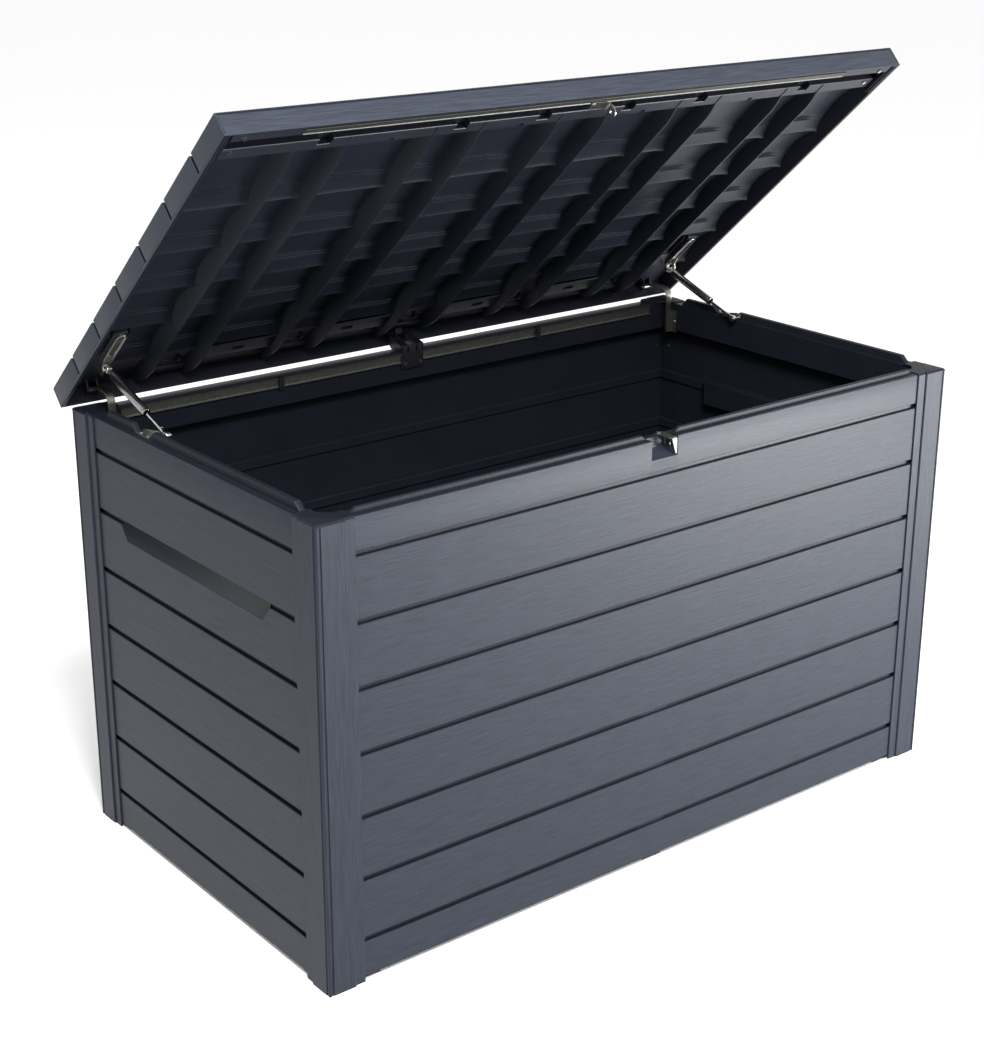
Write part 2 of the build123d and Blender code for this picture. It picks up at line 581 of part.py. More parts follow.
def hinge_pins():
    """Left, centre and right hinge pins, with flat heads outside the lid's ears."""
    reach = ARM_WIDTH / 2 + EAR_GAP + EAR_WALL
    left = rod_x(-ARM_X - reach, -ARM_X + reach, PIVOT_Y, PIVOT_Z, PIN_RADIUS)
    left += rod_x(-ARM_X + reach, -ARM_X + reach + 1.5, PIVOT_Y, PIVOT_Z, PIN_RADIUS + 2)
    centre = rod_x(-BRACKET_HALF, BRACKET_HALF, PIVOT_Y, PIVOT_Z, PIN_RADIUS)
    centre += rod_x(BRACKET_HALF + 0.3, BRACKET_HALF + 1.8, PIVOT_Y, PIVOT_Z, PIN_RADIUS + 2)
    centre += rod_x(BRACKET_HALF, BRACKET_HALF + 0.3, PIVOT_Y, PIVOT_Z, PIN_RADIUS)
    return left, centre


# ---- gas struts ---------------------------------------------------------------------------------

def strut_ends():
    """The left strut's top stud in the rest pose, and the strut's length and slope there."""
    turn = radians(LID_OPEN)
    y, z = STRUT_TOP_Y - PIVOT_Y, STRUT_TOP_Z - PIVOT_Z
    top_y = PIVOT_Y + y * cos(turn) + z * sin(turn)
    top_z = PIVOT_Z - y * sin(turn) + z * cos(turn)
    length = hypot(top_y - STRUT_FOOT_Y, top_z - STRUT_FOOT_Z)
    slope = degrees(atan2(top_z - STRUT_FOOT_Z, top_y - STRUT_FOOT_Y))
    return top_y, top_z, length, slope


def along_strut(shape, from_top):
    """Places a shape drawn along +Z from the origin on the left strut's line, from either end."""
    top_y, top_z, length, slope = strut_ends()
    turn = radians(slope)
    if from_top:
        plane = Plane(origin=(-STRUT_X, top_y, top_z), x_dir=(1, 0, 0), z_dir=(0, -cos(turn), -sin(turn)))
    else:
        plane = Plane(origin=(-STRUT_X, STRUT_FOOT_Y, STRUT_FOOT_Z), x_dir=(1, 0, 0),
                      z_dir=(0, cos(turn), sin(turn)))
    return plane * shape


def eye(neck_radius, neck_end):
    """A strut's end fitting: the eye that turns on a stud, and the neck towards the strut."""
    ring = Rot(0, 90, 0) * Cylinder(EYE_RADIUS, EYE_WIDTH)
    neck = Pos(0, 0, neck_end / 2) * Cylinder(neck_radius, neck_end)
    return ring + neck - Rot(0, 90, 0) * Cylinder(STUD_RADIUS + PIN_CLEARANCE, 4 * EYE_WIDTH)


def strut_tube():
    """The cylinder: closed at the top stud's end and open where the rod enters."""
    length = TUBE_END - TUBE_START
    tube = Pos(0, 0, TUBE_START + length / 2) * Cylinder(TUBE_RADIUS, length)
    tube -= Pos(0, 0, TUBE_START + 3 + length / 2) * Cylinder(TUBE_BORE, length)
    return along_strut(tube, from_top=True)


def strut_tube_end():
    return along_strut(eye(TUBE_NECK, TUBE_START), from_top=True)


def strut_rod():
    length = ROD_LENGTH - ROD_FITTING
    return along_strut(Pos(0, 0, ROD_FITTING + length / 2) * Cylinder(ROD_RADIUS, length), from_top=False)


def strut_rod_end():
    return along_strut(eye(ROD_NECK, ROD_FITTING), from_top=False)


# ---- assembly -----------------------------------------------------------------------------------

def body_nodes():
    """Every node that stays with the body."""
    arm_screws = hinge_arm_screws()
    centre_screws = centre_bracket_screws()
    foot_screws = strut_foot_screws()
    corner_fixings = post_screws()
    top_screws = catch_screws()
    side_cuts = arm_screws + foot_screws
    left = left_side_panel() - side_cuts
    nodes = {
        "front_panel": front_panel() - top_screws - corner_fixings,
        "rear_panel": rear_panel() - centre_screws - corner_fixings,
        "left_side_panel": left - corner_fixings,
        "right_side_panel": mirrored(left) - corner_fixings,
        "floor_panel": floor_panel(),
        "floor_feet": floor_feet(floor_panel()),
    }
    corner = post()
    rear = mirror(corner, about=Plane.XZ)
    nodes["post_front_left"] = corner - corner_fixings
    nodes["post_front_right"] = mirrored(corner) - corner_fixings
    nodes["post_rear_left"] = rear - corner_fixings
    nodes["post_rear_right"] = mirrored(rear) - corner_fixings
    nodes["post_screws"] = corner_fixings
    nodes["rear_rail_left"] = rear_rail(-RAIL_HALF, -BRACKET_HALF)
    nodes["rear_rail_right"] = rear_rail(BRACKET_HALF, RAIL_HALF)
    nodes["rear_rail_clips"] = [rail_clip(-306), rail_clip(322)]
    nodes["hinge_arm_left"] = hinge_arm() - arm_screws
    nodes["hinge_arm_right"] = mirrored(nodes["hinge_arm_left"])
    nodes["hinge_arm_screws"] = arm_screws + [mirrored(s) for s in arm_screws]
    nodes["hinge_bracket_centre"] = centre_bracket() - centre_screws
    nodes["hinge_bracket_screws"] = centre_screws
    nodes["front_catch"] = front_catch() - top_screws
    nodes["front_catch_screw"] = top_screws
    nodes["strut_foot_left"] = strut_foot() - foot_screws
    nodes["strut_foot_right"] = mirrored(nodes["strut_foot_left"])
    nodes["strut_foot_screws"] = foot_screws + [mirrored(s) for s in foot_screws]
    nodes["foot_stud_left"] = stud(STRUT_FOOT_Y, STRUT_FOOT_Z)
    nodes["foot_stud_right"] = mirrored(nodes["foot_stud_left"])
    return nodes


def lid_nodes():
    """Every node that swings with the lid, drawn shut."""
    left_pin, centre_pin = hinge_pins()
    right_pin = mirrored(left_pin)
    strut_screws = bracket_screws()
    strut_screws += [mirrored(s) for s in strut_screws]
    clasp_fixings = clasp_screws()
    corner_fixings = corner_screws()
    fixings = [left_pin, centre_pin, right_pin] + strut_screws + clasp_fixings + corner_fixings
    bracket = strut_bracket()
    upper_stud = stud(STRUT_TOP_Y, STRUT_TOP_Z)
    bar = lid_front_bar()
    deck = lid_deck()
    front = lid_front_section()
    skirts = lid_skirts()
    return {
        "lid_deck": deck - fixings,
        "lid_skirts": [skirt - fixings for skirt in skirts],
        "lid_fins": [lid_fin(side * x) - deck for x in FIN_PLACES for side in (-1, 1)],
        "lid_front_section": front - fixings - bar,
        "lid_rear_shelves": lid_rear_shelves(),
        "lid_hinge_ears": [ear - fixings for ear in lid_hinge_ears()],
        "lid_strut_bosses": [boss - deck - fixings for boss in lid_strut_bosses()],
        "lid_front_bar": bar - clasp_fixings,
        "lid_clasp": lid_clasp() - clasp_fixings,
        "lid_clasp_screw": clasp_fixings,
        "lid_corner_screws": corner_fixings,
        "strut_bracket_left": bracket - strut_screws,
        "strut_bracket_right": mirrored(bracket) - strut_screws,
        "strut_bracket_screws": strut_screws,
        "lid_stud_left": upper_stud,
        "lid_stud_right": mirrored(upper_stud),
        "hinge_pin_left": left_pin,
        "hinge_pin_centre": centre_pin,
        "hinge_pin_right": right_pin,
    }


def strut_nodes():
    """Both struts, each as a tube with its end fitting and a rod with its own."""
    left = {
        "strut_tube": strut_tube(),
        "strut_tube_end": strut_tube_end(),
        "strut_rod": strut_rod(),
        "strut_rod_end": strut_rod_end(),
    }
    nodes = {}
    for name, shape in left.items():
        nodes[name + "_left"] = shape
        nodes[name + "_right"] = mirrored(shape)
    return nodes


def as_compound(shape):
    """One compound of separate solids, whatever a node was built as."""
    pieces = shape if isinstance(shape, list) else [shape]
    return Compound(children=[Solid(s.wrapped) for piece in pieces for s in piece.solids()])


def main():
    os.makedirs("parts", exist_ok=True)
    nodes = body_nodes()
    for name, shape in lid_nodes().items():
        pieces = shape if isinstance(shape, list) else [shape]
        nodes[name] = [opened(piece) for piece in pieces]
    nodes.update(strut_nodes())
    for name, shape in nodes.items():
        export_step(as_compound(shape), f"parts/{name}.step")
    top_y, top_z, length, slope = strut_ends()
    print(f"{len(nodes)} nodes; strut top {top_y:.1f} {top_z:.1f}, length {length:.1f}, slope {slope:.2f}")


main()
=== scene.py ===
"""Deck storage box: the look. Millimetres here, turned into metres when a mesh is made."""

import json
from math import cos, pi, radians, sin, tan

import bmesh
import bpy
from mathutils import Matrix, Vector


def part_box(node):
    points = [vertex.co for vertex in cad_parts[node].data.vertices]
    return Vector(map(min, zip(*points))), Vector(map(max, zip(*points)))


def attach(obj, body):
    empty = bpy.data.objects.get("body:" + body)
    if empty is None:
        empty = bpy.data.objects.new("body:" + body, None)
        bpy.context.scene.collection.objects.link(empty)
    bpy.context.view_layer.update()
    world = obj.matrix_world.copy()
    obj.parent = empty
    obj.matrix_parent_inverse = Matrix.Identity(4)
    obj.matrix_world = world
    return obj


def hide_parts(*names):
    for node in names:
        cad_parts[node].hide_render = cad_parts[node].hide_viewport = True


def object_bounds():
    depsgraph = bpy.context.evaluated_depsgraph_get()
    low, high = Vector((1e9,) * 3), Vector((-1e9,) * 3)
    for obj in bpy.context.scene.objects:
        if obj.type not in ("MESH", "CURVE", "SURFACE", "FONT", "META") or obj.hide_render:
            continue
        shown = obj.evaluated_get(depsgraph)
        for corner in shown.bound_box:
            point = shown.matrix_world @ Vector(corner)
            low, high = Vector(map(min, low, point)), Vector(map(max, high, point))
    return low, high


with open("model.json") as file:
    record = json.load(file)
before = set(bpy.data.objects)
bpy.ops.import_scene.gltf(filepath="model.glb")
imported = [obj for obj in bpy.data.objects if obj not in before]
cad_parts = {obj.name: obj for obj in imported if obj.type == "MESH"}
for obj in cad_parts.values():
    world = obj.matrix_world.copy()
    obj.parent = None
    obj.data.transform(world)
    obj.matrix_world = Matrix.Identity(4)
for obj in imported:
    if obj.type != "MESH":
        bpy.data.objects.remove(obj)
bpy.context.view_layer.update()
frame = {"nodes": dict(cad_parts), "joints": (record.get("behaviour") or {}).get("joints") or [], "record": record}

# ---- places, from the frame ---------------------------------------------------------------------

MM = 0.001
JOINTS = {joint["name"]: joint for joint in frame["joints"]}


def box_mm(node):
    """A CAD node's lowest and highest corners in millimetres."""
    low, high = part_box(node)
    return [v / MM for v in low], [v / MM for v in high]


WALL_LOW, WALL_HIGH = box_mm("front_panel")
POST_LOW, POST_HIGH = box_mm("post_front_left")
FACE_X, FACE_Y = WALL_HIGH[0], -WALL_LOW[1]
PANEL_LOW = WALL_LOW[2]
HALF_X, HALF_Y = -POST_LOW[0], -POST_LOW[1]
POST_TOP = POST_HIGH[2]
RIM_TOP = POST_TOP - 2
REAR_RIM_TOP = RIM_TOP - 2
FRONT_LIP_TOP = WALL_HIGH[2]
SIDE_LIP_TOP = box_mm("left_side_panel")[1][2]

PIVOT = [v / MM for v in JOINTS["lid_hinge"]["pos_m"]]
LID_TURN = radians(JOINTS["lid_hinge"]["range_deg"][1])
LID_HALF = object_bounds()[1][0] / MM
LID_DEPTH, LID_HEIGHT = 820.0, 41.0
LID_REAR, LID_UNDERSIDE = PIVOT[1] + 10, PIVOT[2] - 20

# ---- sizes of what is drawn here ----------------------------------------------------------------

SKIN = 6.0
GROOVE_WIDTH, GROOVE_DEPTH = 9.0, 6.4
BOARD_PITCH, TOP_GROOVE, GROOVES = 111.7, 746.8, 7
EDGE = 1.0
BACK_RIB, BACK_RIB_HALF = 4.0, 10.0
HOLD_RIB_DROP, HOLD_RIB_RISE = 24.0, 8.0
RIM_WIDTH, RIM_PLATE, FLANGE_DROP = 31.0, 4.0, 58.0
HOLD_TOP_HALF, HOLD_BOTTOM_HALF = 244.0, 222.0
HOLD_BOTTOM, HOLD_DEPTH, HOLD_RISE = 604.0, 22.0, 8.0
POCKET = (-38.0, 22.0)
POCKET_LOW, POCKET_DEPTH = 774.0, 18.5
POCKET_WALL = 4.0
FRONT_LIP, FRONT_LIP_END = (12.0, 20.0), 642.0
SIDE_LIP, SIDE_LIP_RUNS = (13.0, 25.0), {"front": (-320.0, 145.0), "rear": (192.0, 303.0)}
LIP_END_SHARE = 0.06

POST_LEG_X, POST_LEG_Y = 73.0, 71.0
POST_STRIP, POST_STEP, POST_WALL = 20.0, 3.0, 6.0
CAP_CORNER = 16.0

PLANK_JOINTS = (112.0, 232.0, 350.0, 470.0, 593.0, 716.0)
PLANK_GAP, PLANK_EDGE = 7.0, 2.6
PLANK_SKIN, PLANK_LOW, PLANK_ROUND = 6.0, 4.0, 3.0
DECK_TOP = 36.0
SKIRT = 4.0
FRAME_INSIDE, FRAME_OUTSIDE, FRAME_FOOT = 7.0, 4.5, 5.0
FACE_SKIN = 3.0
FINS = (54.0, 218.0, 315.0, 483.0, 579.0)
FIN_HALF, FIN_EDGE = 1.3, 2.0
CELL_N, CREST_N, FIN_CREST_N = 33.4, 23.0, 18.5
CREST_SET_BACK = 10.0
# Rows about a crest, as (forward of it, rise mid-bay, rise beside a fin).
CREST_ROWS = ((-9.0, 7.5, 6.0), (-4.0, 3.0, 2.5), (-1.3, 0.0, 0.0), (0.0, -0.8, -0.4), (1.3, 0.0, 0.0))
# Rows in front of a crest, as (forward of it, rise mid-bay, height of the step there).
STEP_ROWS = ((8.0, 2.6, 0.0), (32.0, 5.6, -0.8), (32.4, 6.4, 1.8), (37.6, 7.6, -0.4), (38.0, 8.4, 2.0),
             (44.0, 10.2, 0.1))
STEP_RISERS = (32.2, 37.8)
CELL_ROWS, BAY_COLUMNS, WIDE_BAY = 6, 16, 120.0
FIN_DIP_FRONT, FIN_DIP_REAR = 715.0, 60.0
FLANK_DRAFT = tan(radians(18))
SHELF_N, SHELF_START, SHELF_END = 10.0, 740.0, 766.0
GUTTER_N, FLANGE_N, FLANGE_START = 22.0, 2.0, 797.0
SLOTS, SLOT_HALF, SLOT_DEPTH = (94.0, 266.0, 528.0), 13.0, 14.0
NOTCHES, NOTCH_HALF, NOTCH_DEPTH = (136.0, 399.0), 6.0, 7.0
SLOT_SLANT = 0.4
FOLD_SKIN, FOLD_INSET = 3.0, 19.0
REAR_SLOTS = (158.0, 399.0)
RAIL_HALF = 592.0

TUBE_START, TUBE_END, TUBE_RADIUS, TUBE_BORE = 17.0, 143.0, 8.0, 6.6
ROD_START, ROD_END, ROD_RADIUS = 22.0, 160.0, 3.0
SHEET = 1.6
EAR_NEAR, EAR_FAR = -685.0, -682.6


def grooves():
    """Heights of the grooves between the boards, from the lowest."""
    return [TOP_GROOVE - BOARD_PITCH * i for i in reversed(range(GROOVES))]


# ---- meshes -------------------------------------------------------------------------------------

def lid_point(x, s, n):
    """A point of the lid at rest: s runs forward from its rear edge and n up from its underside."""
    y, z = LID_REAR - s - PIVOT[1], LID_UNDERSIDE + n - PIVOT[2]
    back, up = y * cos(LID_TURN) + z * sin(LID_TURN), z * cos(LID_TURN) - y * sin(LID_TURN)
    return (x, PIVOT[1] + back, PIVOT[2] + up)


def loft(rings, skip=(), ends=True):
    """Points and faces of a skin through closed rings; skip leaves out (ring, side) faces."""
    count = len(rings[0])
    points = [point for ring in rings for point in ring]
    faces = []
    for r in range(len(rings) - 1):
        for i in range(count):
            if (r, i) not in skip:
                j = (i + 1) % count
                faces.append((r * count + i, r * count + j, (r + 1) * count + j, (r + 1) * count + i))
    if ends:
        faces.append(tuple(reversed(range(count))))
        faces.append(tuple((len(rings) - 1) * count + i for i in range(count)))
    return points, faces


def joined(*parts):
    """Several (points, faces) as one."""
    points, faces = [], []
    for part_points, part_faces in parts:
        start = len(points)
        points += part_points
        faces += [tuple(start + i for i in face) for face in part_faces]
    return points, faces


def rounded(outline, radius, steps=3):
    """A closed 2-D outline with its corners rounded; a corner can carry its own radius as a third value."""
    result = []
    count = len(outline)
    for i, corner in enumerate(outline):
        here = Vector(corner[:2])
        back = Vector(outline[i - 1][:2]) - here
        on = Vector(outline[(i + 1) % count][:2]) - here
        own = corner[2] if len(corner) > 2 else radius
        half = back.angle(on) / 2
        reach = min(own / tan(half), 0.48 * back.length, 0.48 * on.length) if own else 0
        if reach < 0.01:
            result.append(tuple(here))
            continue
        start, end = here + back.normalized() * reach, here + on.normalized() * reach
        for k in range(steps + 1):
            t = k / steps
            point = start * (1 - t) ** 2 + here * 2 * t * (1 - t) + end * t ** 2
            result.append(tuple(point))
    return result


def bar(outline, place, stations):
    """A section carried through stations; place(u, a, b) gives the point."""
    return loft([[place(u, a, b) for a, b in outline] for u in stations])


def lathe(profile, origin, along, sides=24):
    """A turned shape: profile is (distance along, radius) pairs from one end to the other."""
    axis = Vector(along).normalized()
    across = axis.orthogonal().normalized()
    over = axis.cross(across)
    rings = []
    for reach, radius in profile:
        middle = Vector(origin) + axis * reach
        turns = [2 * pi * k / sides for k in range(sides)]
        rings.append([tuple(middle + (across * cos(t) + over * sin(t)) * radius) for t in turns])
    return loft(rings)


def block(low, high, edge=0.8, steps=2):
    """A box with all its edges rounded."""
    mesh = bmesh.new()
    bmesh.ops.create_cube(mesh, size=1)
    size = [b - a for a, b in zip(low, high)]
    middle = [(a + b) / 2 for a, b in zip(low, high)]
    bmesh.ops.scale(mesh, vec=size, verts=mesh.verts)
    bmesh.ops.translate(mesh, vec=middle, verts=mesh.verts)
    reach = min(edge, 0.45 * min(size))
    bmesh.ops.bevel(mesh, geom=mesh.edges[:], offset=reach, segments=steps, affect="EDGES", profile=0.5)
    mesh.verts.index_update()
    points = [tuple(v.co) for v in mesh.verts]
    faces = [tuple(v.index for v in f.verts) for f in mesh.faces]
    mesh.free()
    return points, faces


def piece(name, shape, body, look, stands_for=(), lid=False, inner=None, second_look_test=None, angle=35):
    """One mesh object from points and faces in millimetres, riding on a body.
    inner is a second look, for the faces whose middle passes the given test of (x, y, z): the inside faces, and
    also faces given painted shade and painted highlights."""
    points, faces = shape
    placed = [lid_point(*p) for p in points] if lid else points
    mesh = bpy.data.meshes.new(name)
    mesh.from_pydata([[v * MM for v in p] for p in placed], [], faces)
    work = bmesh.new()
    work.from_mesh(mesh)
    bmesh.ops.recalc_face_normals(work, faces=work.faces)
    work.to_mesh(mesh)
    work.free()
    material, slot = look
    mesh.materials.append(material)
    if inner:
        mesh.materials.append(inner[0])
        for polygon in mesh.polygons:
            middle = [sum(points[i][k] for i in polygon.vertices) / len(polygon.vertices) for k in range(3)]
            polygon.material_index = int(second_look_test(*middle))
    mesh.shade_smooth()
    mesh.set_sharp_from_angle(angle=radians(angle))
    obj = bpy.data.objects.new(name, mesh)
    bpy.context.scene.collection.objects.link(obj)
    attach(obj, body)
    if stands_for:
        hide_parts(*stands_for)
    return obj


# ---- looks --------------------------------------------------------------------------------------

def new_material(name, colour, roughness, metallic=0.0, gloss=0.5):
    material = bpy.data.materials.new(name)
    material.use_nodes = True
    shader = material.node_tree.nodes["Principled BSDF"]
    shader.inputs["Specular IOR Level"].default_value = gloss
    shader.inputs["Base Color"].default_value = (*colour, 1)
    shader.inputs["Roughness"].default_value = roughness
    shader.inputs["Metallic"].default_value = metallic
    return material, material.node_tree, shader


def stretched_noise(tree, scale, detail=4.0, roughness=0.6):
    """Noise in the object's own space, with a scale for each axis."""
    place = tree.nodes.new("ShaderNodeTexCoord")
    stretch = tree.nodes.new("ShaderNodeMapping")
    stretch.inputs["Scale"].default_value = scale
    noise = tree.nodes.new("ShaderNodeTexNoise")
    noise.inputs["Scale"].default_value = 1.0
    noise.inputs["Detail"].default_value = detail
    noise.inputs["Roughness"].default_value = roughness
    tree.links.new(place.outputs["Object"], stretch.inputs["Vector"])
    tree.links.new(stretch.outputs["Vector"], noise.inputs["Vector"])
    return noise.outputs["Fac"]


def ramp(tree, value, stops):
    """A colour ramp of (position, colour) stops over a value."""
    node = tree.nodes.new("ShaderNodeValToRGB")
    elements = node.color_ramp.elements
    while len(elements) < len(stops):
        elements.new(0.5)
    for element, (position, colour) in zip(elements, stops):
        element.position = position
        element.color = (*colour, 1)
    tree.links.new(value, node.inputs["Fac"])
    return node.outputs["Color"]


def bump(tree, shader, height, strength, distance):
    node = tree.nodes.new("ShaderNodeBump")
    node.inputs["Strength"].default_value = strength
    node.inputs["Distance"].default_value = distance
    tree.links.new(height, node.inputs["Height"])
    tree.links.new(node.outputs["Normal"], shader.inputs["Normal"])


def grained_resin(name, axis, base):
    """Graphite resin with fine brushed lines along one axis."""
    material, tree, shader = new_material(name, base, 0.46, gloss=0.17)
    fine = [420.0, 420.0, 420.0]
    fine[axis] = 18.0
    broad = [60.0, 60.0, 60.0]
    broad[axis] = 4.0
    lines = stretched_noise(tree, fine, 3.0)
    clouds = stretched_noise(tree, broad, 3.0)
    both = tree.nodes.new("ShaderNodeMath")
    both.operation = "ADD"
    tree.links.new(lines, both.inputs[0])
    tree.links.new(clouds, both.inputs[1])
    dark = [0.72 * c for c in base]
    light = [1.28 * c for c in base]
    colour = ramp(tree, lines, [(0.34, dark), (0.66, light)])
    tree.links.new(colour, shader.inputs["Base Color"])
    bump(tree, shader, both.outputs[0], 0.35, 0.0006)
    return material, "resin_board"


def plain_resin(name, base, roughness, slot, gloss=0.2):
    """Smooth moulded resin, with the faint mottle of a moulding."""
    material, tree, shader = new_material(name, base, roughness, gloss=gloss)
    mottle = stretched_noise(tree, (14.0, 14.0, 14.0), 3.0)
    colour = ramp(tree, mottle, [(0.3, [0.9 * c for c in base]), (0.7, [1.1 * c for c in base])])
    tree.links.new(colour, shader.inputs["Base Color"])
    bump(tree, shader, stretched_noise(tree, (700.0, 700.0, 700.0), 2.0), 0.08, 0.0004)
    return material, slot


def metal(name, base, roughness, slot):
    """Sheet metal with small changes of shade and gloss."""
    material, tree, shader = new_material(name, base, roughness, 1.0)
    spangle = stretched_noise(tree, (160.0, 160.0, 160.0), 3.0)
    colour = ramp(tree, spangle, [(0.3, [0.82 * c for c in base]), (0.7, [1.12 * c for c in base])])
    tree.links.new(colour, shader.inputs["Base Color"])
    bump(tree, shader, stretched_noise(tree, (500.0, 500.0, 500.0), 2.0), 0.06, 0.0003)
    return material, slot


BOARD = (0.0215, 0.0255, 0.0355)
WALL = (0.0108, 0.0140, 0.0222)
LID_X = grained_resin("resin_lid", 0, BOARD)
BOARD_X = grained_resin("resin_grain_x", 0, WALL)
BOARD_Y = grained_resin("resin_grain_y", 1, WALL)
BOARD_Z = grained_resin("resin_grain_z", 2, WALL)
# DARK is the inside resin, and also painted shade in the walls' grooves, rim tops and hand-hold scoops and in the
# lid fold's gutter.
DARK = plain_resin("resin_inside", (0.0088, 0.0100, 0.0152), 0.36, "resin_dark", gloss=0.16)
# FOLD is the fold's resin, and also painted highlight on the underside's fin edges and step risers.
FOLD = plain_resin("resin_fold", (0.0125, 0.0142, 0.0200), 0.40, "resin_dark")
# TRIM is plain resin without grain, made darker than the boards as painted shade on the tops of the caps and lips.
TRIM = plain_resin("resin_rim", (0.0090, 0.0105, 0.0155), 0.48, "resin_board", gloss=0.12)
BLACK = plain_resin("plastic_black", (0.010, 0.0105, 0.013), 0.38, "plastic_dark")
DULL = metal("rail_steel", (0.075, 0.075, 0.069), 0.50, "galvanised")
CATCH = metal("catch_steel", (0.13, 0.13, 0.125), 0.48, "zinc_screw")
GALVANISED = metal("galvanised", (0.26, 0.26, 0.235), 0.38, "galvanised")
ZINC = metal("zinc", (0.40, 0.40, 0.39), 0.30, "zinc_screw")
TUBE = metal("strut_zinc", (0.34, 0.34, 0.335), 0.26, "strut_tube")
CHROME = metal("strut_chrome", (0.62, 0.62, 0.62), 0.14, "strut_rod")


# ---- walls --------------------------------------------------------------------------------------

def wall_outline(rim, hold=0.0, hold_groove=None):
    """A wall's section as (depth, height): up the boarded face, over the rim and down inside.
    hold is 0 beside the hand-hold and 1 in it, where the groove opens into a scoop."""
    face = [(SKIN, PANEL_LOW), (EDGE, PANEL_LOW), (0, PANEL_LOW + EDGE)]
    back = []
    for height in grooves():
        scoop = hold if height == hold_groove else 0.0
        low, high = height - GROOVE_WIDTH / 2, height + GROOVE_WIDTH / 2
        lip = low - scoop * (low - HOLD_BOTTOM)
        deep = GROOVE_DEPTH + scoop * (HOLD_DEPTH - GROOVE_DEPTH)
        rise = scoop * HOLD_RISE
        face += [(0, lip - EDGE), (EDGE, lip), (deep, low + rise), (deep, high + rise)]
        face += [(GROOVE_DEPTH, high), (EDGE, high), (0, high + EDGE)]
        rib = SKIN + BACK_RIB + scoop * (HOLD_DEPTH - SKIN)
        rib_low = height - BACK_RIB_HALF - scoop * HOLD_RIB_DROP
        rib_high = height + BACK_RIB_HALF + scoop * HOLD_RIB_RISE
        back += [(SKIN, rib_low), (rib, rib_low + 2), (rib, rib_high - 2), (SKIN, rib_high)]
    top = [(0, rim - 2), (0.6, rim - 0.6), (2, rim), (RIM_WIDTH - 1, rim), (RIM_WIDTH, rim - 1),
           (RIM_WIDTH, rim - FLANGE_DROP), (RIM_WIDTH - RIM_PLATE, rim - FLANGE_DROP),
           (RIM_WIDTH - RIM_PLATE, rim - RIM_PLATE), (SKIN, rim - RIM_PLATE)]
    return face + top + back[::-1]


def front_wall():
    """The front wall in three lengths; the middle one holds the pocket behind the catch."""
    outline = wall_outline(RIM_TOP)
    half = FACE_X - 0.5
    left, right = POCKET
    runs = [-half, -half / 2, left], [right, half / 2, half]
    sides = [bar(outline, front_place, run) for run in runs]
    return joined(*sides, bar(pocket_outline(), front_place, [left, right]))


def pocket_outline():
    """The front wall's section at the pocket, whose floor slopes back to an upright wall."""
    face = wall_outline(RIM_TOP)
    start = next(i for i, (d, z) in enumerate(face) if d == 0 and z > POCKET_LOW)
    end = next(i for i, (d, z) in enumerate(face) if d > POCKET_DEPTH + 1 and z == RIM_TOP)
    back = POCKET_DEPTH
    pocket = [(0, POCKET_LOW - 1), (1, POCKET_LOW), (back - 6, POCKET_LOW + 7), (back, POCKET_LOW + 15),
              (back, RIM_TOP - 1), (back + 1, RIM_TOP)]
    behind = face.index((SKIN, RIM_TOP - RIM_PLATE))
    skin = [(back + POCKET_WALL, RIM_TOP - RIM_PLATE), (back + POCKET_WALL, POCKET_LOW + 10),
            (back - POCKET_WALL, POCKET_LOW + 1), (SKIN, POCKET_LOW - 7)]
    return face[:start] + pocket + face[end:behind] + skin + face[behind + 1:]


def front_place(u, depth, height):
    return (u, -FACE_Y + depth, height)


def rear_place(u, depth, height):
    return (-u, FACE_Y - depth, height)


def left_place(u, depth, height):
    return (-FACE_X + depth, u, height)


def right_place(u, depth, height):
    return (FACE_X - depth, -u, height)


def rear_wall():
    half = FACE_X - 0.5
    return bar(wall_outline(REAR_RIM_TOP), rear_place, [-half, -half / 2, 0, half / 2, half])


def side_wall(place):
    """A side wall, whose second groove opens into the hand-hold's scoop."""
    half = FACE_Y - SKIN
    hold_groove = grooves()[-2]
    stations = [(-half, 0.0), (-HOLD_TOP_HALF, 0.0), (-HOLD_BOTTOM_HALF, 1.0), (0.0, 1.0),
                (HOLD_BOTTOM_HALF, 1.0), (HOLD_TOP_HALF, 0.0), (half, 0.0)]
    rings = []
    for u, hold in stations:
        outline = wall_outline(RIM_TOP, hold, hold_groove)
        rings.append([place(u, depth, height) for depth, height in outline])
    return loft(rings)


def front_inside_and_painted_shade(x, y, z):
    """Whether a point of the front wall lies behind its boards' face, apart from the pocket; these faces take the
    dark inside resin, which in the grooves and on the rim's top is painted shade.
    """
    depth = y + FACE_Y
    in_pocket = POCKET[0] <= x <= POCKET[1] and depth < POCKET_DEPTH
    return depth > EDGE and not in_pocket


def walls():
    """The four boarded walls; all but the boarded faces take the dark inside resin, which is painted shade in the
    grooves, on the rim's top and in the hand-hold scoops.
    """
    piece("front_boards", front_wall(), "box", BOARD_X, ["front_panel"], inner=DARK, second_look_test=front_inside_and_painted_shade)
    # The rear wall's grooves and rim top take the dark inside resin as painted shade.
    piece("rear_boards", rear_wall(), "box", BOARD_X, ["rear_panel"], inner=DARK,
          second_look_test=lambda x, y, z: FACE_Y - y > EDGE)
    # The side walls' grooves, rim top and hand-hold scoops take the dark inside resin as painted shade.
    for side, place, sign in (("left", left_place, -1), ("right", right_place, 1)):
        piece(f"{side}_boards", side_wall(place), "box", BOARD_Y, [f"{side}_side_panel"], inner=DARK,
              second_look_test=lambda x, y, z: FACE_X - sign * x > EDGE)


# ---- posts --------------------------------------------------------------------------------------

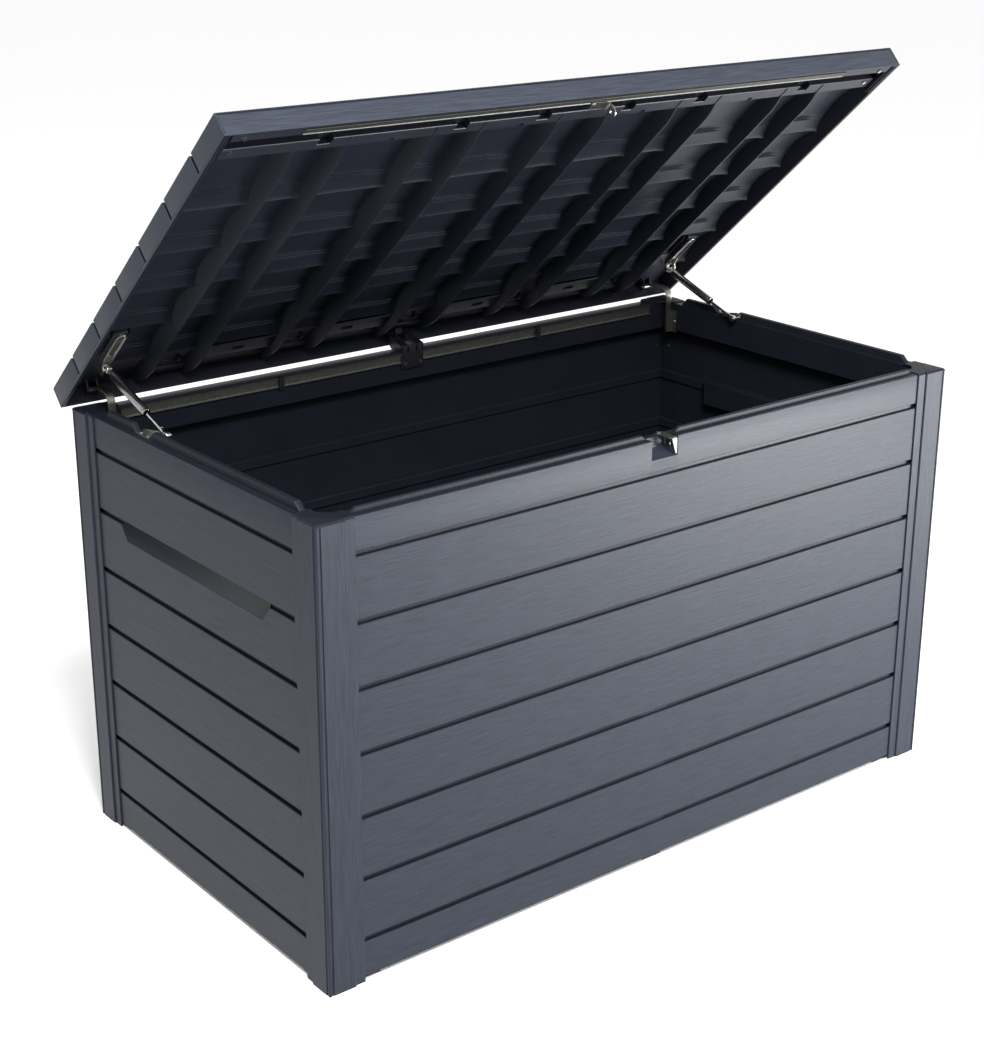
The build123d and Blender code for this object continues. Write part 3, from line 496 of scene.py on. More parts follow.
def post_outline():
    """A post's section as (in from the outer face along X, in along Y), from inside the corner round."""
    legs = []
    for width in (POST_LEG_X, POST_LEG_Y):
        end = width - POST_STRIP
        leg = [(2.6, 0.0), (4.0, 0.0), (5.0, 1.8), (8.6, 1.8), (9.6, 0.0), (end - 1.6, 0.0), (end, 1.2)]
        leg += [(end + 0.2, POST_STEP), (width - 0.8, POST_STEP)]
        leg += [(width, POST_STEP + 0.8), (width, POST_WALL)]
        legs.append(leg)
    along_x, along_y = legs
    corner, inside = [(0.4, 1.2), (1.2, 0.4)], [(POST_WALL, POST_WALL)]
    return corner + along_x + inside + [(b, a) for a, b in reversed(along_y)]


def post(sign_x, sign_y):
    """A corner post: the moulded section, and a cap with a bevelled edge."""
    def place(z, a, b):
        return (sign_x * (HALF_X - a), sign_y * (HALF_Y - b), z)
    legs = bar(post_outline(), place, [0, POST_TOP - 4])
    rim_x, rim_y = HALF_X - FACE_X + RIM_WIDTH, HALF_Y - FACE_Y + RIM_WIDTH
    end_x, end_y = POST_LEG_X - POST_STRIP, POST_LEG_Y - POST_STRIP

    def cap_ring(inset):
        i, j = inset, POST_STEP + inset * 0.7
        return [(i, i), (end_x, i), (end_x + 1, j), (POST_LEG_X, j), (POST_LEG_X, rim_y),
                (rim_x + CAP_CORNER, rim_y), (rim_x, rim_y + CAP_CORNER), (rim_x, POST_LEG_Y),
                (j, POST_LEG_Y), (j, end_y + 1), (i, end_y)]

    heights = [(POST_TOP - 5.5, 0.4), (POST_TOP - 3.5, 0.0), (POST_TOP - 0.5, 2.6), (POST_TOP, 3.4)]
    cap = loft([[place(z, a, b) for a, b in cap_ring(inset)] for z, inset in heights])
    return legs, cap


def posts():
    """The four posts and their caps."""
    for side, sign_x in (("left", -1), ("right", 1)):
        for end, sign_y in (("front", -1), ("rear", 1)):
            legs, cap = post(sign_x, sign_y)
            piece(f"corner_post_{end}_{side}", legs, "box", BOARD_Z, [f"post_{end}_{side}"])
            piece(f"corner_cap_{end}_{side}", cap, "box", TRIM)


# ---- rim ----------------------------------------------------------------------------------------

def lip(place, low, top, near, far, ends):
    """A raised lip along a rim: a rounded bar with its ends sloped down to the rim."""
    drop = top - low
    outline = [(near, low - 1), (near + 0.4, top - 1.6), (near + 2, top), (far - 2, top),
               (far - 0.4, top - 1.6), (far, low - 1)]
    first, last = ends
    stations = ((first, LIP_END_SHARE), (first + drop, 1.0), (last - drop, 1.0), (last, LIP_END_SHARE))
    rings = []
    for u, share in stations:
        rings.append([place(u, d, low - 1 + (z - low + 1) * share) for d, z in outline])
    return loft(rings)


def lips():
    """The lips along the front and side rims; the front ones stop beside the pocket."""
    left, right = POCKET
    for name, ends in (("left", (-FRONT_LIP_END, left - 3)), ("right", (right + 3, FRONT_LIP_END))):
        shape = lip(front_place, RIM_TOP, FRONT_LIP_TOP, *FRONT_LIP, ends)
        piece(f"front_lip_{name}", shape, "box", TRIM)
    for side, place, turn in (("left", left_place, 1), ("right", right_place, -1)):
        for part, ends in SIDE_LIP_RUNS.items():
            shape = lip(place, RIM_TOP, SIDE_LIP_TOP, *SIDE_LIP, sorted(turn * end for end in ends))
            piece(f"side_lip_{part}_{side}", shape, "box", TRIM)


# ---- lid ----------------------------------------------------------------------------------------

def plank(s0, s1):
    """One plank of the lid: its top and its two turned-down ends, with rounded edges."""
    foot, low, top = PLANK_LOW, LID_HEIGHT - PLANK_SKIN, LID_HEIGHT
    half, inside = LID_HALF, LID_HALF - SKIRT
    section = [(-half, foot), (-half, top, PLANK_ROUND), (half, top, PLANK_ROUND), (half, foot),
               (inside, foot), (inside, low), (-inside, low), (-inside, foot)]
    outline = rounded(section, 0, 4)

    def ring(s, inset):
        shrink = []
        for x, n in outline:
            side = 1 if x > 0 else -1
            edge_x = x - side * inset if abs(x) > inside + 0.1 else x
            shrink.append((edge_x, s, min(n, top - inset) if n > low + 0.1 else n))
        return shrink
    e = PLANK_EDGE
    return loft([ring(s0, e), ring(s0 + 0.3 * e, 0.3 * e), ring(s0 + e, 0), ring(s1 - e, 0),
                 ring(s1 - 0.3 * e, 0.3 * e), ring(s1, e)])


def lid_planks():
    """The seven planks of the top."""
    edges = [0.0, *PLANK_JOINTS, LID_DEPTH]
    for number, (s0, s1) in enumerate(zip(edges, edges[1:]), 1):
        start = s0 if s0 == 0 else s0 + PLANK_GAP / 2
        end = s1 if s1 == LID_DEPTH else s1 - PLANK_GAP / 2
        piece(f"lid_plank_{number}", plank(start, end), "lid", LID_X, lid=True)


def lid_skirt():
    """The closed frame inside the planks' ends, and the front and rear faces."""
    half = LID_HALF
    parts = []
    for side in (-1, 1):
        outside, inside = side * (half - FRAME_OUTSIDE), side * (half - FRAME_INSIDE)
        section = [(side * half, 0), (side * half, FRAME_FOOT), (outside, FRAME_FOOT), (outside, DECK_TOP),
                   (inside, DECK_TOP), (inside, 0)]
        outline = rounded(section, 0.6, 2)
        parts.append(loft([[(x, s, n) for x, n in outline] for s in (0.5, LID_DEPTH - 0.5)]))
    top = LID_HEIGHT - 2
    for near, far in ((LID_DEPTH - FACE_SKIN, LID_DEPTH), (0, FACE_SKIN)):
        outline = rounded([(near, 0), (far, 0), (far, top), (near, top)], 0.6, 2)
        parts.append(loft([[(x, s, n) for s, n in outline] for x in (-half + 0.3, half - 0.3)]))
    return joined(*parts)


def crests():
    """Places of the crests across the underside; the last plank joint has none."""
    return [joint - CREST_SET_BACK for joint in PLANK_JOINTS[:-1]]


def lid_rows():
    """Rows of the underside as (s, depth mid-bay, depth beside a fin, height of the step rows).
    From the rear, each crest is followed by a slope, two small steps and the cell's floor."""
    rows = [(3.0, CELL_N, CELL_N, 0.0), (45.0, CELL_N, CELL_N, 0.0), (70.0, CELL_N, CELL_N - 3, 0.0)]
    for crest, following in zip(crests(), crests()[1:] + [SHELF_START + 4]):
        span = following - crest

        def beside(s):
            return FIN_CREST_N + (CELL_N - FIN_CREST_N) * sin(pi * (s - crest) / span) ** 0.6
        rows += [(crest + run, CREST_N + rise, FIN_CREST_N + side, 0.0) for run, rise, side in CREST_ROWS]
        rows += [(crest + run, CREST_N + rise, beside(crest + run), step) for run, rise, step in STEP_ROWS]
        first = crest + STEP_ROWS[-1][0]
        last = following + (CREST_ROWS[0][0] if following < SHELF_START else 0.0)
        for k in range(1, CELL_ROWS):
            s = first + (last - first) * k / CELL_ROWS
            rows.append((s, CELL_N, beside(s), 0.0))
    rows.append((SHELF_START + 3, CELL_N, FIN_CREST_N, 0.0))
    return rows


def fin_clear(s):
    """How far the fins' edges stand from the rim's plane at s."""
    if s > FIN_DIP_FRONT:
        return FIN_EDGE + (s - FIN_DIP_FRONT) / 28 * (SHELF_N - FIN_EDGE - 1)
    if s < FIN_DIP_REAR:
        return FIN_EDGE + (FIN_DIP_REAR - s) / 57 * 18
    return FIN_EDGE


def lid_bays():
    """Every bay between the underside's fins and end walls, as its two x places."""
    wall = LID_HALF - FRAME_INSIDE
    fins = sorted([-x for x in FINS] + list(FINS))
    edges = [-wall, *fins, wall]
    bays = []
    for i, (left, right) in enumerate(zip(edges, edges[1:])):
        bays.append((left + (FIN_HALF if i else 0), right - (FIN_HALF if i < len(edges) - 2 else 0)))
    return bays


def lid_columns(s, middle, beside, step):
    """One row's points (x, n) across the lid, from the left skirt to the right."""
    row = []
    clear = fin_clear(s)
    for x0, x1 in lid_bays():
        wide = x1 - x0 > WIDE_BAY
        foot = 1.0 + FLANK_DRAFT * (beside - clear)
        row.append((x0, clear))
        for k in range(BAY_COLUMNS + 1):
            u = k / BAY_COLUMNS
            fade = min(max((0.74 - u) / 0.12, 0.0), 1.0) if wide else 0.35
            near = abs(2 * u - 1) ** (9 if wide else 4)
            depth = (middle + step * fade) * (1 - near) + beside * near
            depth = max(min(depth, CELL_N + 0.4), clear + 0.5)
            row.append((x0 + foot + (x1 - x0 - 2 * foot) * u, depth))
        row.append((x1, clear))
    return row


def lid_liner():
    """The moulded underside: drafted fins, crests under the joints and hollowed cells, on a flat back."""
    below = []
    for s, middle, beside, step in lid_rows():
        below.append([(x, s, n) for x, n in lid_columns(s, middle, beside, step)])
    above = [[(x, s, DECK_TOP) for x, s, n in row] for row in below]
    count = len(below[0])
    points = [p for row in below + above for p in row]
    back = len(below) * count
    faces = []
    for r in range(len(below) - 1):
        for i in range(count - 1):
            a, b, c, d = r * count + i, r * count + i + 1, (r + 1) * count + i + 1, (r + 1) * count + i
            faces.append((a, b, c, d))
            faces.append((back + a, back + d, back + c, back + b))
        a, b = r * count, (r + 1) * count
        faces.append((a, b, back + b, back + a))
        a, b = a + count - 1, b + count - 1
        faces.append((a, back + a, back + b, b))
    last = (len(below) - 1) * count
    for i in range(count - 1):
        faces.append((i, back + i, back + i + 1, i + 1))
        faces.append((last + i, last + i + 1, back + last + i + 1, back + last + i))
    return points, faces


def front_fold_outline(slot, notch):
    """The fold's section from the flange over the gutter to the shelf, cut back at a slot or a notch."""
    front = SHELF_END - (SLOT_DEPTH if slot else 0)
    rear = SHELF_START + (NOTCH_DEPTH if notch else 0)
    low, skin, flange, face = SHELF_N, FOLD_SKIN, FLANGE_START, LID_DEPTH - FACE_SKIN
    below = [(face, FLANGE_N), (flange + 1, FLANGE_N), (flange, FLANGE_N + 1), (flange, GUTTER_N),
             (front, GUTTER_N), (front, low + 1), (front - 1, low), (rear + 1, low), (rear, low + 1)]
    above = [(rear, DECK_TOP), (rear + skin, DECK_TOP), (rear + skin, low + skin),
             (front - skin, low + skin), (front - skin, GUTTER_N + skin), (flange + skin, GUTTER_N + skin),
             (flange + skin, FLANGE_N + skin), (face, FLANGE_N + skin)]
    return below + above


def lid_front_fold():
    """The folded section along the front, with slots beside the gutter and notches behind."""
    cuts = [(x, SLOT_HALF, True) for x in SLOTS] + [(x, NOTCH_HALF, False) for x in NOTCHES]
    places = [(side * x, half, slot) for x, half, slot in cuts for side in (-1, 1)]
    end = LID_HALF - FOLD_INSET
    stations = [(-end, False, False)]
    for x, half, slot in sorted(places):
        near, far = half, half - SLOT_SLANT
        stations += [(x - near, False, False), (x - far, slot, not slot)]
        stations += [(x + far, slot, not slot), (x + near, False, False)]
    stations.append((end, False, False))
    return loft([[(x, s, n) for s, n in front_fold_outline(slot, notch)] for x, slot, notch in stations])


def fin_toes():
    """The fins' thin ends, which cross the front shelf to the gutter."""
    half = 1.2
    toes = []
    for fin in FINS:
        for x in (-fin, fin):
            low = (x - half, SHELF_START - 1, SHELF_N - half)
            toes.append(block(low, (x + half, SHELF_END - 0.5, SHELF_N + 0.5), 0.5, 1))
    return joined(*toes)


def slotted(outline, low_side, high_side, slots, half):
    """A section along X with slots through it, between the two outline sides named."""
    stations = [-half]
    for x0, x1 in slots:
        stations += [x0, x1]
    stations.append(half)
    skip = set()
    walls = []
    count = len(outline)
    for k in range(len(slots)):
        r = 2 * k + 1
        skip |= {(r, low_side), (r, high_side)}
        a, b = r * count + low_side, r * count + (low_side + 1) % count
        c, d = r * count + high_side, r * count + (high_side + 1) % count
        walls += [(a, b, c, d), (a + count, b + count, c + count, d + count)]
        walls += [(a, a + count, d + count, d), (b, b + count, c + count, c)]
    points, faces = loft([[(x, s, n) for s, n in outline] for x in stations], skip)
    return points, faces + walls


def lid_rear_section():
    """The slotted shelf along the rear, in the wide bays, and the stepped band behind it."""
    shelf = [(62, 17), (63, 16), (76, 16), (88, 16), (101, 16), (102, 17), (102, 19), (88, 19), (76, 19),
             (65, 19), (65, 34), (62, 34)]
    slot_below, slot_above = 2, 7
    band = [(18, 35), (18, 25), (20, 24), (30, 24), (32, 25), (34, 29), (36, 30), (44, 30), (46, 31),
            (48, 35)]
    knob = [(0, 4.0), (6, 5.0), (7.5, 4.4), (8, 3.4)]
    parts = []
    for near, far, slot in ((FINS[0], FINS[1], REAR_SLOTS[0]), (FINS[2], FINS[3], REAR_SLOTS[1])):
        middle, half = (near + far) / 2, (far - near) / 2
        ends = (slot - middle - SLOT_HALF, slot - middle + SLOT_HALF)
        points, faces = slotted(shelf, slot_below, slot_above, [ends], half)
        for side in (-1, 1):
            parts.append(([(side * (middle + x), s, n) for x, s, n in points], faces))
    for x0, x1 in lid_bays()[1:-1]:
        parts.append(loft([[(x, s, n) for s, n in band] for x in (x0 + 6, x1 - 6)]))
        middle = (x0 + x1) / 2
        for x in (middle - 26, middle + 26):
            parts.append(lathe(knob, (x, 52, 34), (0, 0, -1), 16))
    return joined(*parts)


def hinge_ear(x0, x1):
    """A hinge ear under the lid's rear edge."""
    section = [(3, 36), (26, 36), (17, 18), (14, 13), (3, 13)]
    return loft([[(x, s, n) for s, n in rounded(section, 2, 3)] for x in (x0, x1)])


def lid_ears():
    """The ear on the middle hinge and the pairs on the gooseneck arms."""
    ears = [hinge_ear(-8, 8)]
    for side in (-1, 1):
        for near in (659.5, 679.0):
            x0, x1 = sorted((side * near, side * (near + 3.5)))
            ears.append(hinge_ear(x0, x1))
    return joined(*ears)


def corner_ribs():
    """The doubled border at the lid's front corners."""
    parts = []
    for side in (-1, 1):
        for x0, x1, n in ((718.5, 721, 3), (724, 728.5, 1)):
            a, b = sorted((side * x0, side * x1))
            parts.append(block((a, 733, n), (b, 817, 14), 0.6))
    return joined(*parts)


def strut_bosses():
    """The bosses under the strut brackets, each with a rib either side."""
    parts = []
    for side in (-1, 1):
        x0, x1 = sorted((side * 661, side * 689))
        parts.append(block((x0, 92, 24), (x1, 202, DECK_TOP), 2.5, 3))
        for x in (side * 655, side * 695):
            parts.append(block((x - 1.2, 96, 27), (x + 1.2, 198, DECK_TOP), 0.8))
        for s in (110, 146, 182):
            a, b = sorted((side * 655, side * 695))
            parts.append(block((a, s - 1.2, 28), (b, s + 1.2, DECK_TOP), 0.8))
    return joined(*parts)


def lid_front_rail():
    """The galvanised bar in the front flange, with rolled edges and a shallow channel between."""
    section = [(799.4, 2), (799, 1.4), (799.2, 0.3), (800.2, 0), (801, 0.5), (801.6, 1), (809.9, 1),
               (810.5, 0.5), (811.3, 0), (812.3, 0.3), (812.5, 1.4), (812.1, 2)]
    return loft([[(x, s, n) for s, n in section] for x in (-RAIL_HALF, -300, 0, 300, RAIL_HALF)])


def painted_highlight_faces(x, s, n):
    """Whether a face of the underside is a fin's edge or a step's riser, which take the lighter fold resin as a
    painted highlight.
    """
    riser = any(abs(s - crest - run) < 0.1 for crest in crests() for run in STEP_RISERS)
    return n < FIN_EDGE + 0.3 or n > CREST_N and riser


def lid():
    """The lid's moulding, as separate pieces, and the bar in its front flange."""
    lid_planks()
    piece("lid_end_frames", lid_skirt(), "lid", LID_X, ["lid_skirts"], lid=True, inner=DARK,
          second_look_test=lambda x, s, n: abs(x) < LID_HALF - 0.6 and 0.4 < s < LID_DEPTH - 0.4)
    # The underside's fin edges and step risers take the lighter fold resin as painted highlight.
    piece("lid_underside", lid_liner(), "lid", DARK, ["lid_deck", "lid_fins"], lid=True, angle=24,
          inner=FOLD, second_look_test=painted_highlight_faces)
    # The fold's faces deeper than the shelf, in the gutter and the slots, take the dark inside resin as painted
    # shade.
    piece("lid_front_fold", lid_front_fold(), "lid", FOLD, ["lid_front_section"], lid=True, inner=DARK,
          second_look_test=lambda x, s, n: n > SHELF_N + 1.5)
    piece("lid_fin_toes", fin_toes(), "lid", FOLD, lid=True)
    piece("lid_rear_ledges", lid_rear_section(), "lid", DARK, ["lid_rear_shelves"], lid=True)
    piece("lid_ears", lid_ears(), "lid", DARK, ["lid_hinge_ears"], lid=True)
    piece("lid_corner_ribs", corner_ribs(), "lid", DARK, lid=True)
    piece("lid_boss_pads", strut_bosses(), "lid", DARK, ["lid_strut_bosses"], lid=True)
    piece("lid_front_rail", lid_front_rail(), "lid", DULL, ["lid_front_bar"], lid=True)


# ---- struts and metal fittings ------------------------------------------------------------------

def on_side(shape, side):
    """A shape drawn on the left, or its mirror image on the right."""
    points, faces = shape
    turn = 1 if side == "left" else -1
    return [(turn * x, y, z) for x, y, z in points], faces


def strut_line(side):
    """A strut's two studs at rest, top and foot, drawn on the left."""
    ends = []
    for name in ("tube_pivot", "rod_pivot"):
        x, y, z = [v / MM for v in JOINTS[f"{name}_{side}"]["pos_m"]]
        ends.append(Vector((-abs(x), y, z)))
    return ends


def socket(origin, along, neck_end, neck_radius):
    """A ball socket on a stud, and its neck towards the strut."""
    x, y, z = origin
    cup = [(-5, 4.6), (-4.6, 5.8), (-3.6, 6.6), (-1.5, 7.0), (1.5, 7.0), (3.4, 6.6), (4.2, 5.6), (4.4, 4.2)]
    neck = [(2, neck_radius + 1.4), (7.5, neck_radius + 1.2), (9, neck_radius + 0.2),
            (neck_end - 3, neck_radius), (neck_end - 2.4, neck_radius + 0.6), (neck_end, neck_radius + 0.4)]
    return joined(lathe(cup, (x, y, z), (1, 0, 0), 28), lathe(neck, (x, y, z), along, 24))


def struts():
    """The gas struts: an open-mouthed tube, the rod in it, and a ball socket on each."""
    tube_neck, rod_neck = 3.4, 3.7
    start, end, radius = TUBE_START, TUBE_END, TUBE_RADIUS
    wall = [(start, tube_neck), (start, 5.8), (start + 1.4, 7.3), (start + 4, radius), (end - 7, radius),
            (end - 6, 7.6), (end - 5, radius), (end - 1.6, radius), (end - 0.4, 7.5),
            (end, TUBE_BORE + 0.2), (end - 0.8, TUBE_BORE), (start + 3, TUBE_BORE)]
    rod = [(ROD_START, ROD_RADIUS), (ROD_END - 0.8, ROD_RADIUS), (ROD_END, ROD_RADIUS - 0.7)]
    for side in ("left", "right"):
        top, foot = strut_line(side)
        down = (foot - top).normalized()
        parts = (("tube", lathe(wall, top, down, 32), TUBE), ("rod", lathe(rod, foot, -down, 28), CHROME),
                 ("tube_end", socket(top, down, TUBE_START + 1, tube_neck), CHROME),
                 ("rod_end", socket(foot, -down, ROD_START + 1, rod_neck), CHROME))
        for name, shape, look in parts:
            body = f"strut_tube_{side}" if name.startswith("tube") else f"strut_rod_{side}"
            piece(f"gas_{name}_{side}", on_side(shape, side), body, look, [f"strut_{name}_{side}"])


def ring(x, s, half_x, half_s, n, steps=10):
    """A capsule outline in the lid's plane: straight sides along s and round ends."""
    points = []
    for turn_from, middle in ((0, half_s - half_x), (pi, half_x - half_s)):
        for k in range(steps + 1):
            t = turn_from + pi * k / steps
            points.append((x + half_x * cos(t), s + middle + half_x * sin(t), n))
    return points


def upright(outline):
    """A thin plate across X at the struts' ears, drawn on the left."""
    return loft([[(x, a, b) for a, b in outline] for x in (EAR_NEAR, EAR_FAR)])


def strut_brackets():
    """The stamped channels under the lid, each with the ear that holds a strut's upper stud."""
    x, s, half_x, half_s, seat = -674, 147, 10, 54, 24
    rim = seat - 5.2
    insets = ((0, seat), (0, rim + 0.6), (0.5, rim), (1.2, rim), (1.8, rim + 0.6), (2.6, seat - 2.2),
              (3.6, seat - 1.6))
    dish = [ring(x, s, half_x - inset, half_s - inset, n) for inset, n in insets]
    ear = rounded([(128, 20), (90, 20), (87, 12), (89, 5), (103, 5), (108, 14)], 3.5, 5)
    shape = joined(loft(dish), upright(ear))
    for side in ("left", "right"):
        piece(f"channel_bracket_{side}", on_side(shape, side), "lid", GALVANISED, [f"strut_bracket_{side}"],
              lid=True)


def strut_feet():
    """The struts' feet: a leaf in the side lip's notch and an upright ear with rounded corners."""
    base = RIM_TOP + 0.2
    leaf_near, leaf_start, leaf_end = -699, 148, 190
    foot = JOINTS["rod_pivot_left"]["pos_m"]
    y, z = foot[1] / MM, foot[2] / MM
    ear = rounded([(y - 9, z - 3), (leaf_end, z - 3), (leaf_end, z + 0.5), (y + 14, z + 8), (y + 4, z + 10),
                   (y - 9, z + 8)], 3, 4)
    leaf = block((leaf_near, leaf_start, RIM_TOP), (EAR_FAR, leaf_end, RIM_TOP + SHEET), 0.6)
    shape = joined(upright([(a, max(b, base)) for a, b in ear]), leaf)
    for side in ("left", "right"):
        piece(f"foot_bracket_{side}", on_side(shape, side), "box", GALVANISED, [f"strut_foot_{side}"])


def radial_plate(limits, hole, place, thickness, steps=48):
    """A flat plate with a round hole; limits are its straight sides as (direction in degrees, distance)."""
    def edge(t):
        reaches = []
        for direction, distance in limits:
            share = cos(t - radians(direction))
            if share > 0.05:
                reaches.append(distance / share)
        return min(reaches)
    turns = [2 * pi * k / steps for k in range(steps)]
    outer = [(edge(t) * cos(t), edge(t) * sin(t)) for t in turns]
    inner = [(hole * cos(t), hole * sin(t)) for t in turns]
    half = thickness / 2
    rings = [(inner, -half), (outer, -half), (outer, half), (inner, half), (inner, -half)]
    points = []
    for outline, u in rings[:4]:
        points += [place(u, a, b) for a, b in outline]
    faces = []
    for r in range(4):
        for i in range(steps):
            j = (i + 1) % steps
            following = (r + 1) % 4
            faces.append((r * steps + i, r * steps + j, following * steps + j, following * steps + i))
    return points, faces


def catch():
    """The steel catch: a strip bent over the front rim, narrowing down the front, and the drilled lug."""
    low, high = box_mm("front_catch")
    lug_x, lug_y, lug_z = 10.0, -383.0, 794.0
    top = high[2] - SHEET / 2
    front = low[1] + SHEET / 2
    path = [(low[0], high[0], high[1] - 0.2, top)]
    path += [(low[0] + 3, high[0], front + 8, top), (low[0] + 4, high[0], front + 3, top)]
    path += [(low[0] + 6, high[0], front + 0.9, top - 0.9), (low[0] + 8, high[0], front, top - 3)]
    path += [(lug_x - 2, high[0], front, low[2] + 2), (lug_x - 1.5, high[0], front, low[2] + 0.2)]
    rings = []
    for i, (x0, x1, y, z) in enumerate(path):
        back, on = path[max(i - 1, 0)], path[min(i + 1, len(path) - 1)]
        along = Vector((0, on[2] - back[2], on[3] - back[3])).normalized() * SHEET / 2
        across = Vector((0, -along.z, along.y))
        rings.append([(x0, y - across.y, z - across.z), (x1, y - across.y, z - across.z),
                      (x1, y + across.y, z + across.z), (x0, y + across.y, z + across.z)])
    limits = [(0, 10.5), (90, 14.5), (180, 10.5), (270, 13.0), (225, 13.5), (315, 13.5)]
    lug = radial_plate(limits, 4.0, lambda u, a, b: (lug_x + u, lug_y + a, lug_z + b), 1.9)
    piece("rim_catch", joined(loft(rings), lug), "box", CATCH, ["front_catch"])


def clasp():
    """The steel clasp under the lid's front edge: a screwed leaf, a bend and the drilled tongue."""
    middle, half = 794.0, 9.0
    tongue_x, tongue_n = 15.0, -18.0
    path = [(-24, -0.8), (4, -0.8), (9, -0.8), (12, -1.4), (14, -3), (15, -6), (15, -9)]
    rings = []
    for i, (x, n) in enumerate(path):
        back, on = path[max(i - 1, 0)], path[min(i + 1, len(path) - 1)]
        along = Vector((on[0] - back[0], on[1] - back[1])).normalized() * 0.8
        rings.append([(x - along.y, middle - half, n + along.x), (x - along.y, middle + half, n + along.x),
                      (x + along.y, middle + half, n - along.x), (x + along.y, middle - half, n - along.x)])
    limits = [(0, half), (180, half), (90, 9.5)] + [(a, half) for a in range(195, 360, 15)]
    tongue = radial_plate(limits, 4.0, lambda u, a, b: (tongue_x + u, middle + 2 + a, tongue_n + b), 1.8)
    piece("lid_hasp", joined(loft(rings), tongue), "lid", ZINC, ["lid_clasp"], lid=True)


def bracket():
    """The moulded centre hinge: a plate on the rear flange and two arms of ribs and webs."""
    rib = [(351, 800), (355, 806.5), (386, 806.5), (391, 811), (404, 826), (409, 832), (403, 838.5),
           (396, 836), (380, 825), (351, 818)]
    web = [(352, 803), (356, 808), (385, 808), (390, 813), (402, 828), (399, 833), (381, 822), (352, 814)]
    boss = [(0, 4.0), (0, 6.0), (16.2, 6.0), (16.2, 4.0)]
    rib_outline, web_outline = rounded(rib, 2.5, 3), rounded(web, 2, 3)
    parts = [block((-27, 351, 770), (27, 355, 818), 1.6, 3)]
    for side in (-1, 1):
        for x in (25.4, 18.0, 10.6):
            parts.append(loft([[(side * u, a, b) for a, b in rib_outline] for u in (x - 1.6, x + 1.6)]))
        parts.append(loft([[(side * u, a, b) for a, b in web_outline] for u in (9.5, 26)]))
        parts.append(lathe(boss, (side * 9.6, PIVOT[1], PIVOT[2]), (side, 0, 0), 24))
        parts.append(block((side * 18 - 2, 349.8, 772), (side * 18 + 2, 352, 816), 0.8))
    piece("centre_hinge", joined(*parts), "box", BLACK, ["hinge_bracket_centre"])


def floor_pads():
    """Raised fields that stiffen the floor, between shallow channels."""
    low, high = box_mm("floor_panel")
    columns, rows, border, gap = 6, 3, 20, 26
    width, depth = (high[0] - low[0] - 2 * border) / columns, (high[1] - low[1] - 2 * border) / rows
    parts = []
    for i in range(columns):
        for j in range(rows):
            x, y = low[0] + border + i * width, low[1] + border + j * depth
            near = (x + gap / 2, y + gap / 2, high[2] - 2)
            far = (x + width - gap / 2, y + depth - gap / 2, high[2] + 1.6)
            parts.append(block(near, far, 1.4, 3))
    piece("floor_fields", joined(*parts), "box", DARK)


# ---- CAD nodes that stay ------------------------------------------------------------------------

def dress_nodes():
    """Finishes for the CAD nodes whose shape is right as it is."""
    looks = {"galvanised": GALVANISED, "zinc_screw": ZINC, "plastic_dark": BLACK, "resin_dark": DARK,
             "strut_tube": TUBE, "strut_rod": CHROME, "resin_board": TRIM}
    slots = {part["node"]: part["material_slot"] for part in frame["record"]["subparts"]}
    for name, obj in frame["nodes"].items():
        obj.data.materials.clear()
        obj.data.materials.append(looks[slots[name]][0])


# ---- stage --------------------------------------------------------------------------------------

CAMERA_PLACE = (-2136.6, -2607.2, 1767.3)
CAMERA_FORWARD = (0.58314, 0.73784, -0.33992)
CAMERA_ROLL = 0.12
CAMERA_LENS, CAMERA_SENSOR = 65.71, 36.0

# Lights as (place, target, (width, height), watts), in metres.
LIGHTS = {"key": ((2.0, -2.4, 0.4), (0.1, 0, 0.6), (1.2, 0.7), 170),
          "fill": ((-1.2, -2.2, 3.4), (-0.1, 0, 1.0), (1.2, 1.2), 230)}
FLOOR_REACH, FLOOR_WHITE = 40, 0.96


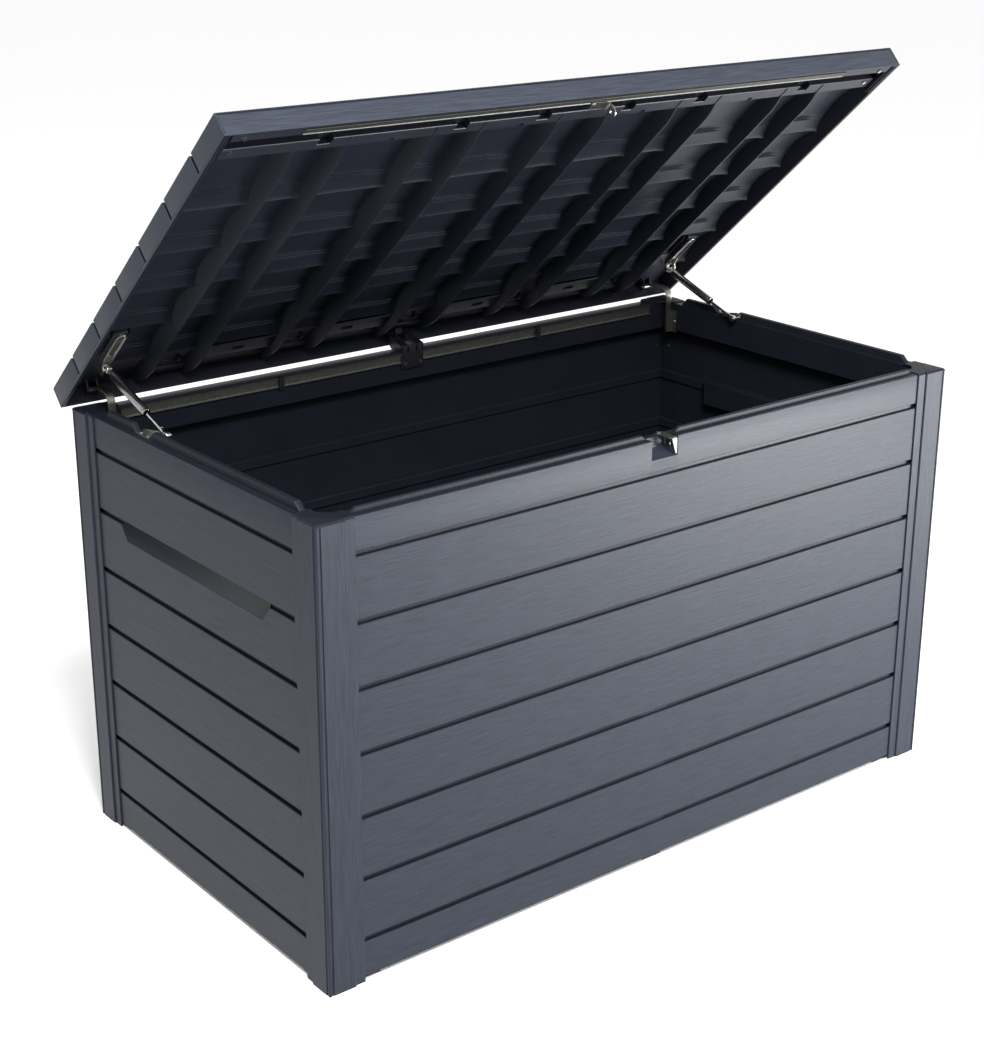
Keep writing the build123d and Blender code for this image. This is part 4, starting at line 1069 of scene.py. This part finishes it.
def camera():
    data = bpy.data.cameras.new("camera")
    data.sensor_fit = "VERTICAL"
    data.sensor_height = CAMERA_SENSOR
    data.sensor_width = CAMERA_SENSOR
    data.lens = CAMERA_LENS
    data.clip_end = 100
    obj = bpy.data.objects.new("camera", data)
    bpy.context.scene.collection.objects.link(obj)
    turn = Vector(CAMERA_FORWARD).to_track_quat("-Z", "Y").to_matrix().to_4x4()
    turn = turn @ Matrix.Rotation(radians(CAMERA_ROLL), 4, "Z")
    obj.matrix_world = Matrix.Translation([v * MM for v in CAMERA_PLACE]) @ turn
    bpy.context.scene.camera = obj


def area_light(name, place, target, size, power):
    data = bpy.data.lights.new(name, "AREA")
    data.shape = "RECTANGLE"
    data.size, data.size_y = size
    data.energy = power
    obj = bpy.data.objects.new(name, data)
    obj.visible_camera = False
    bpy.context.scene.collection.objects.link(obj)
    aim = Vector(target) - Vector(place)
    obj.matrix_world = Matrix.Translation(place) @ aim.to_track_quat("-Z", "Y").to_matrix().to_4x4()


def stage():
    """A pale floor, a white surround and two soft lights: one low on the right, one high in front."""
    data = bpy.data.meshes.new("floor")
    reach = FLOOR_REACH
    corners = [(-reach, -reach, 0), (reach, -reach, 0), (reach, reach, 0), (-reach, reach, 0)]
    data.from_pydata(corners, [], [(0, 1, 2, 3)])
    floor = bpy.data.objects.new("floor", data)
    bpy.context.scene.collection.objects.link(floor)
    data.materials.append(new_material("floor_pale", [FLOOR_WHITE] * 3, 0.95, gloss=0.05)[0])
    world = bpy.data.worlds.new("surround")
    world.use_nodes = True
    background = world.node_tree.nodes["Background"]
    background.inputs["Color"].default_value = (1, 1, 1, 1)
    background.inputs["Strength"].default_value = 1.0
    bpy.context.scene.world = world
    for name, settings in LIGHTS.items():
        area_light(name, *settings)
    bpy.context.scene.view_settings.view_transform = "Standard"


# ---- build --------------------------------------------------------------------------------------

dress_nodes()
walls()
posts()
lips()
floor_pads()
lid()
struts()
strut_brackets()
strut_feet()
catch()
clasp()
bracket()
stage()
camera()
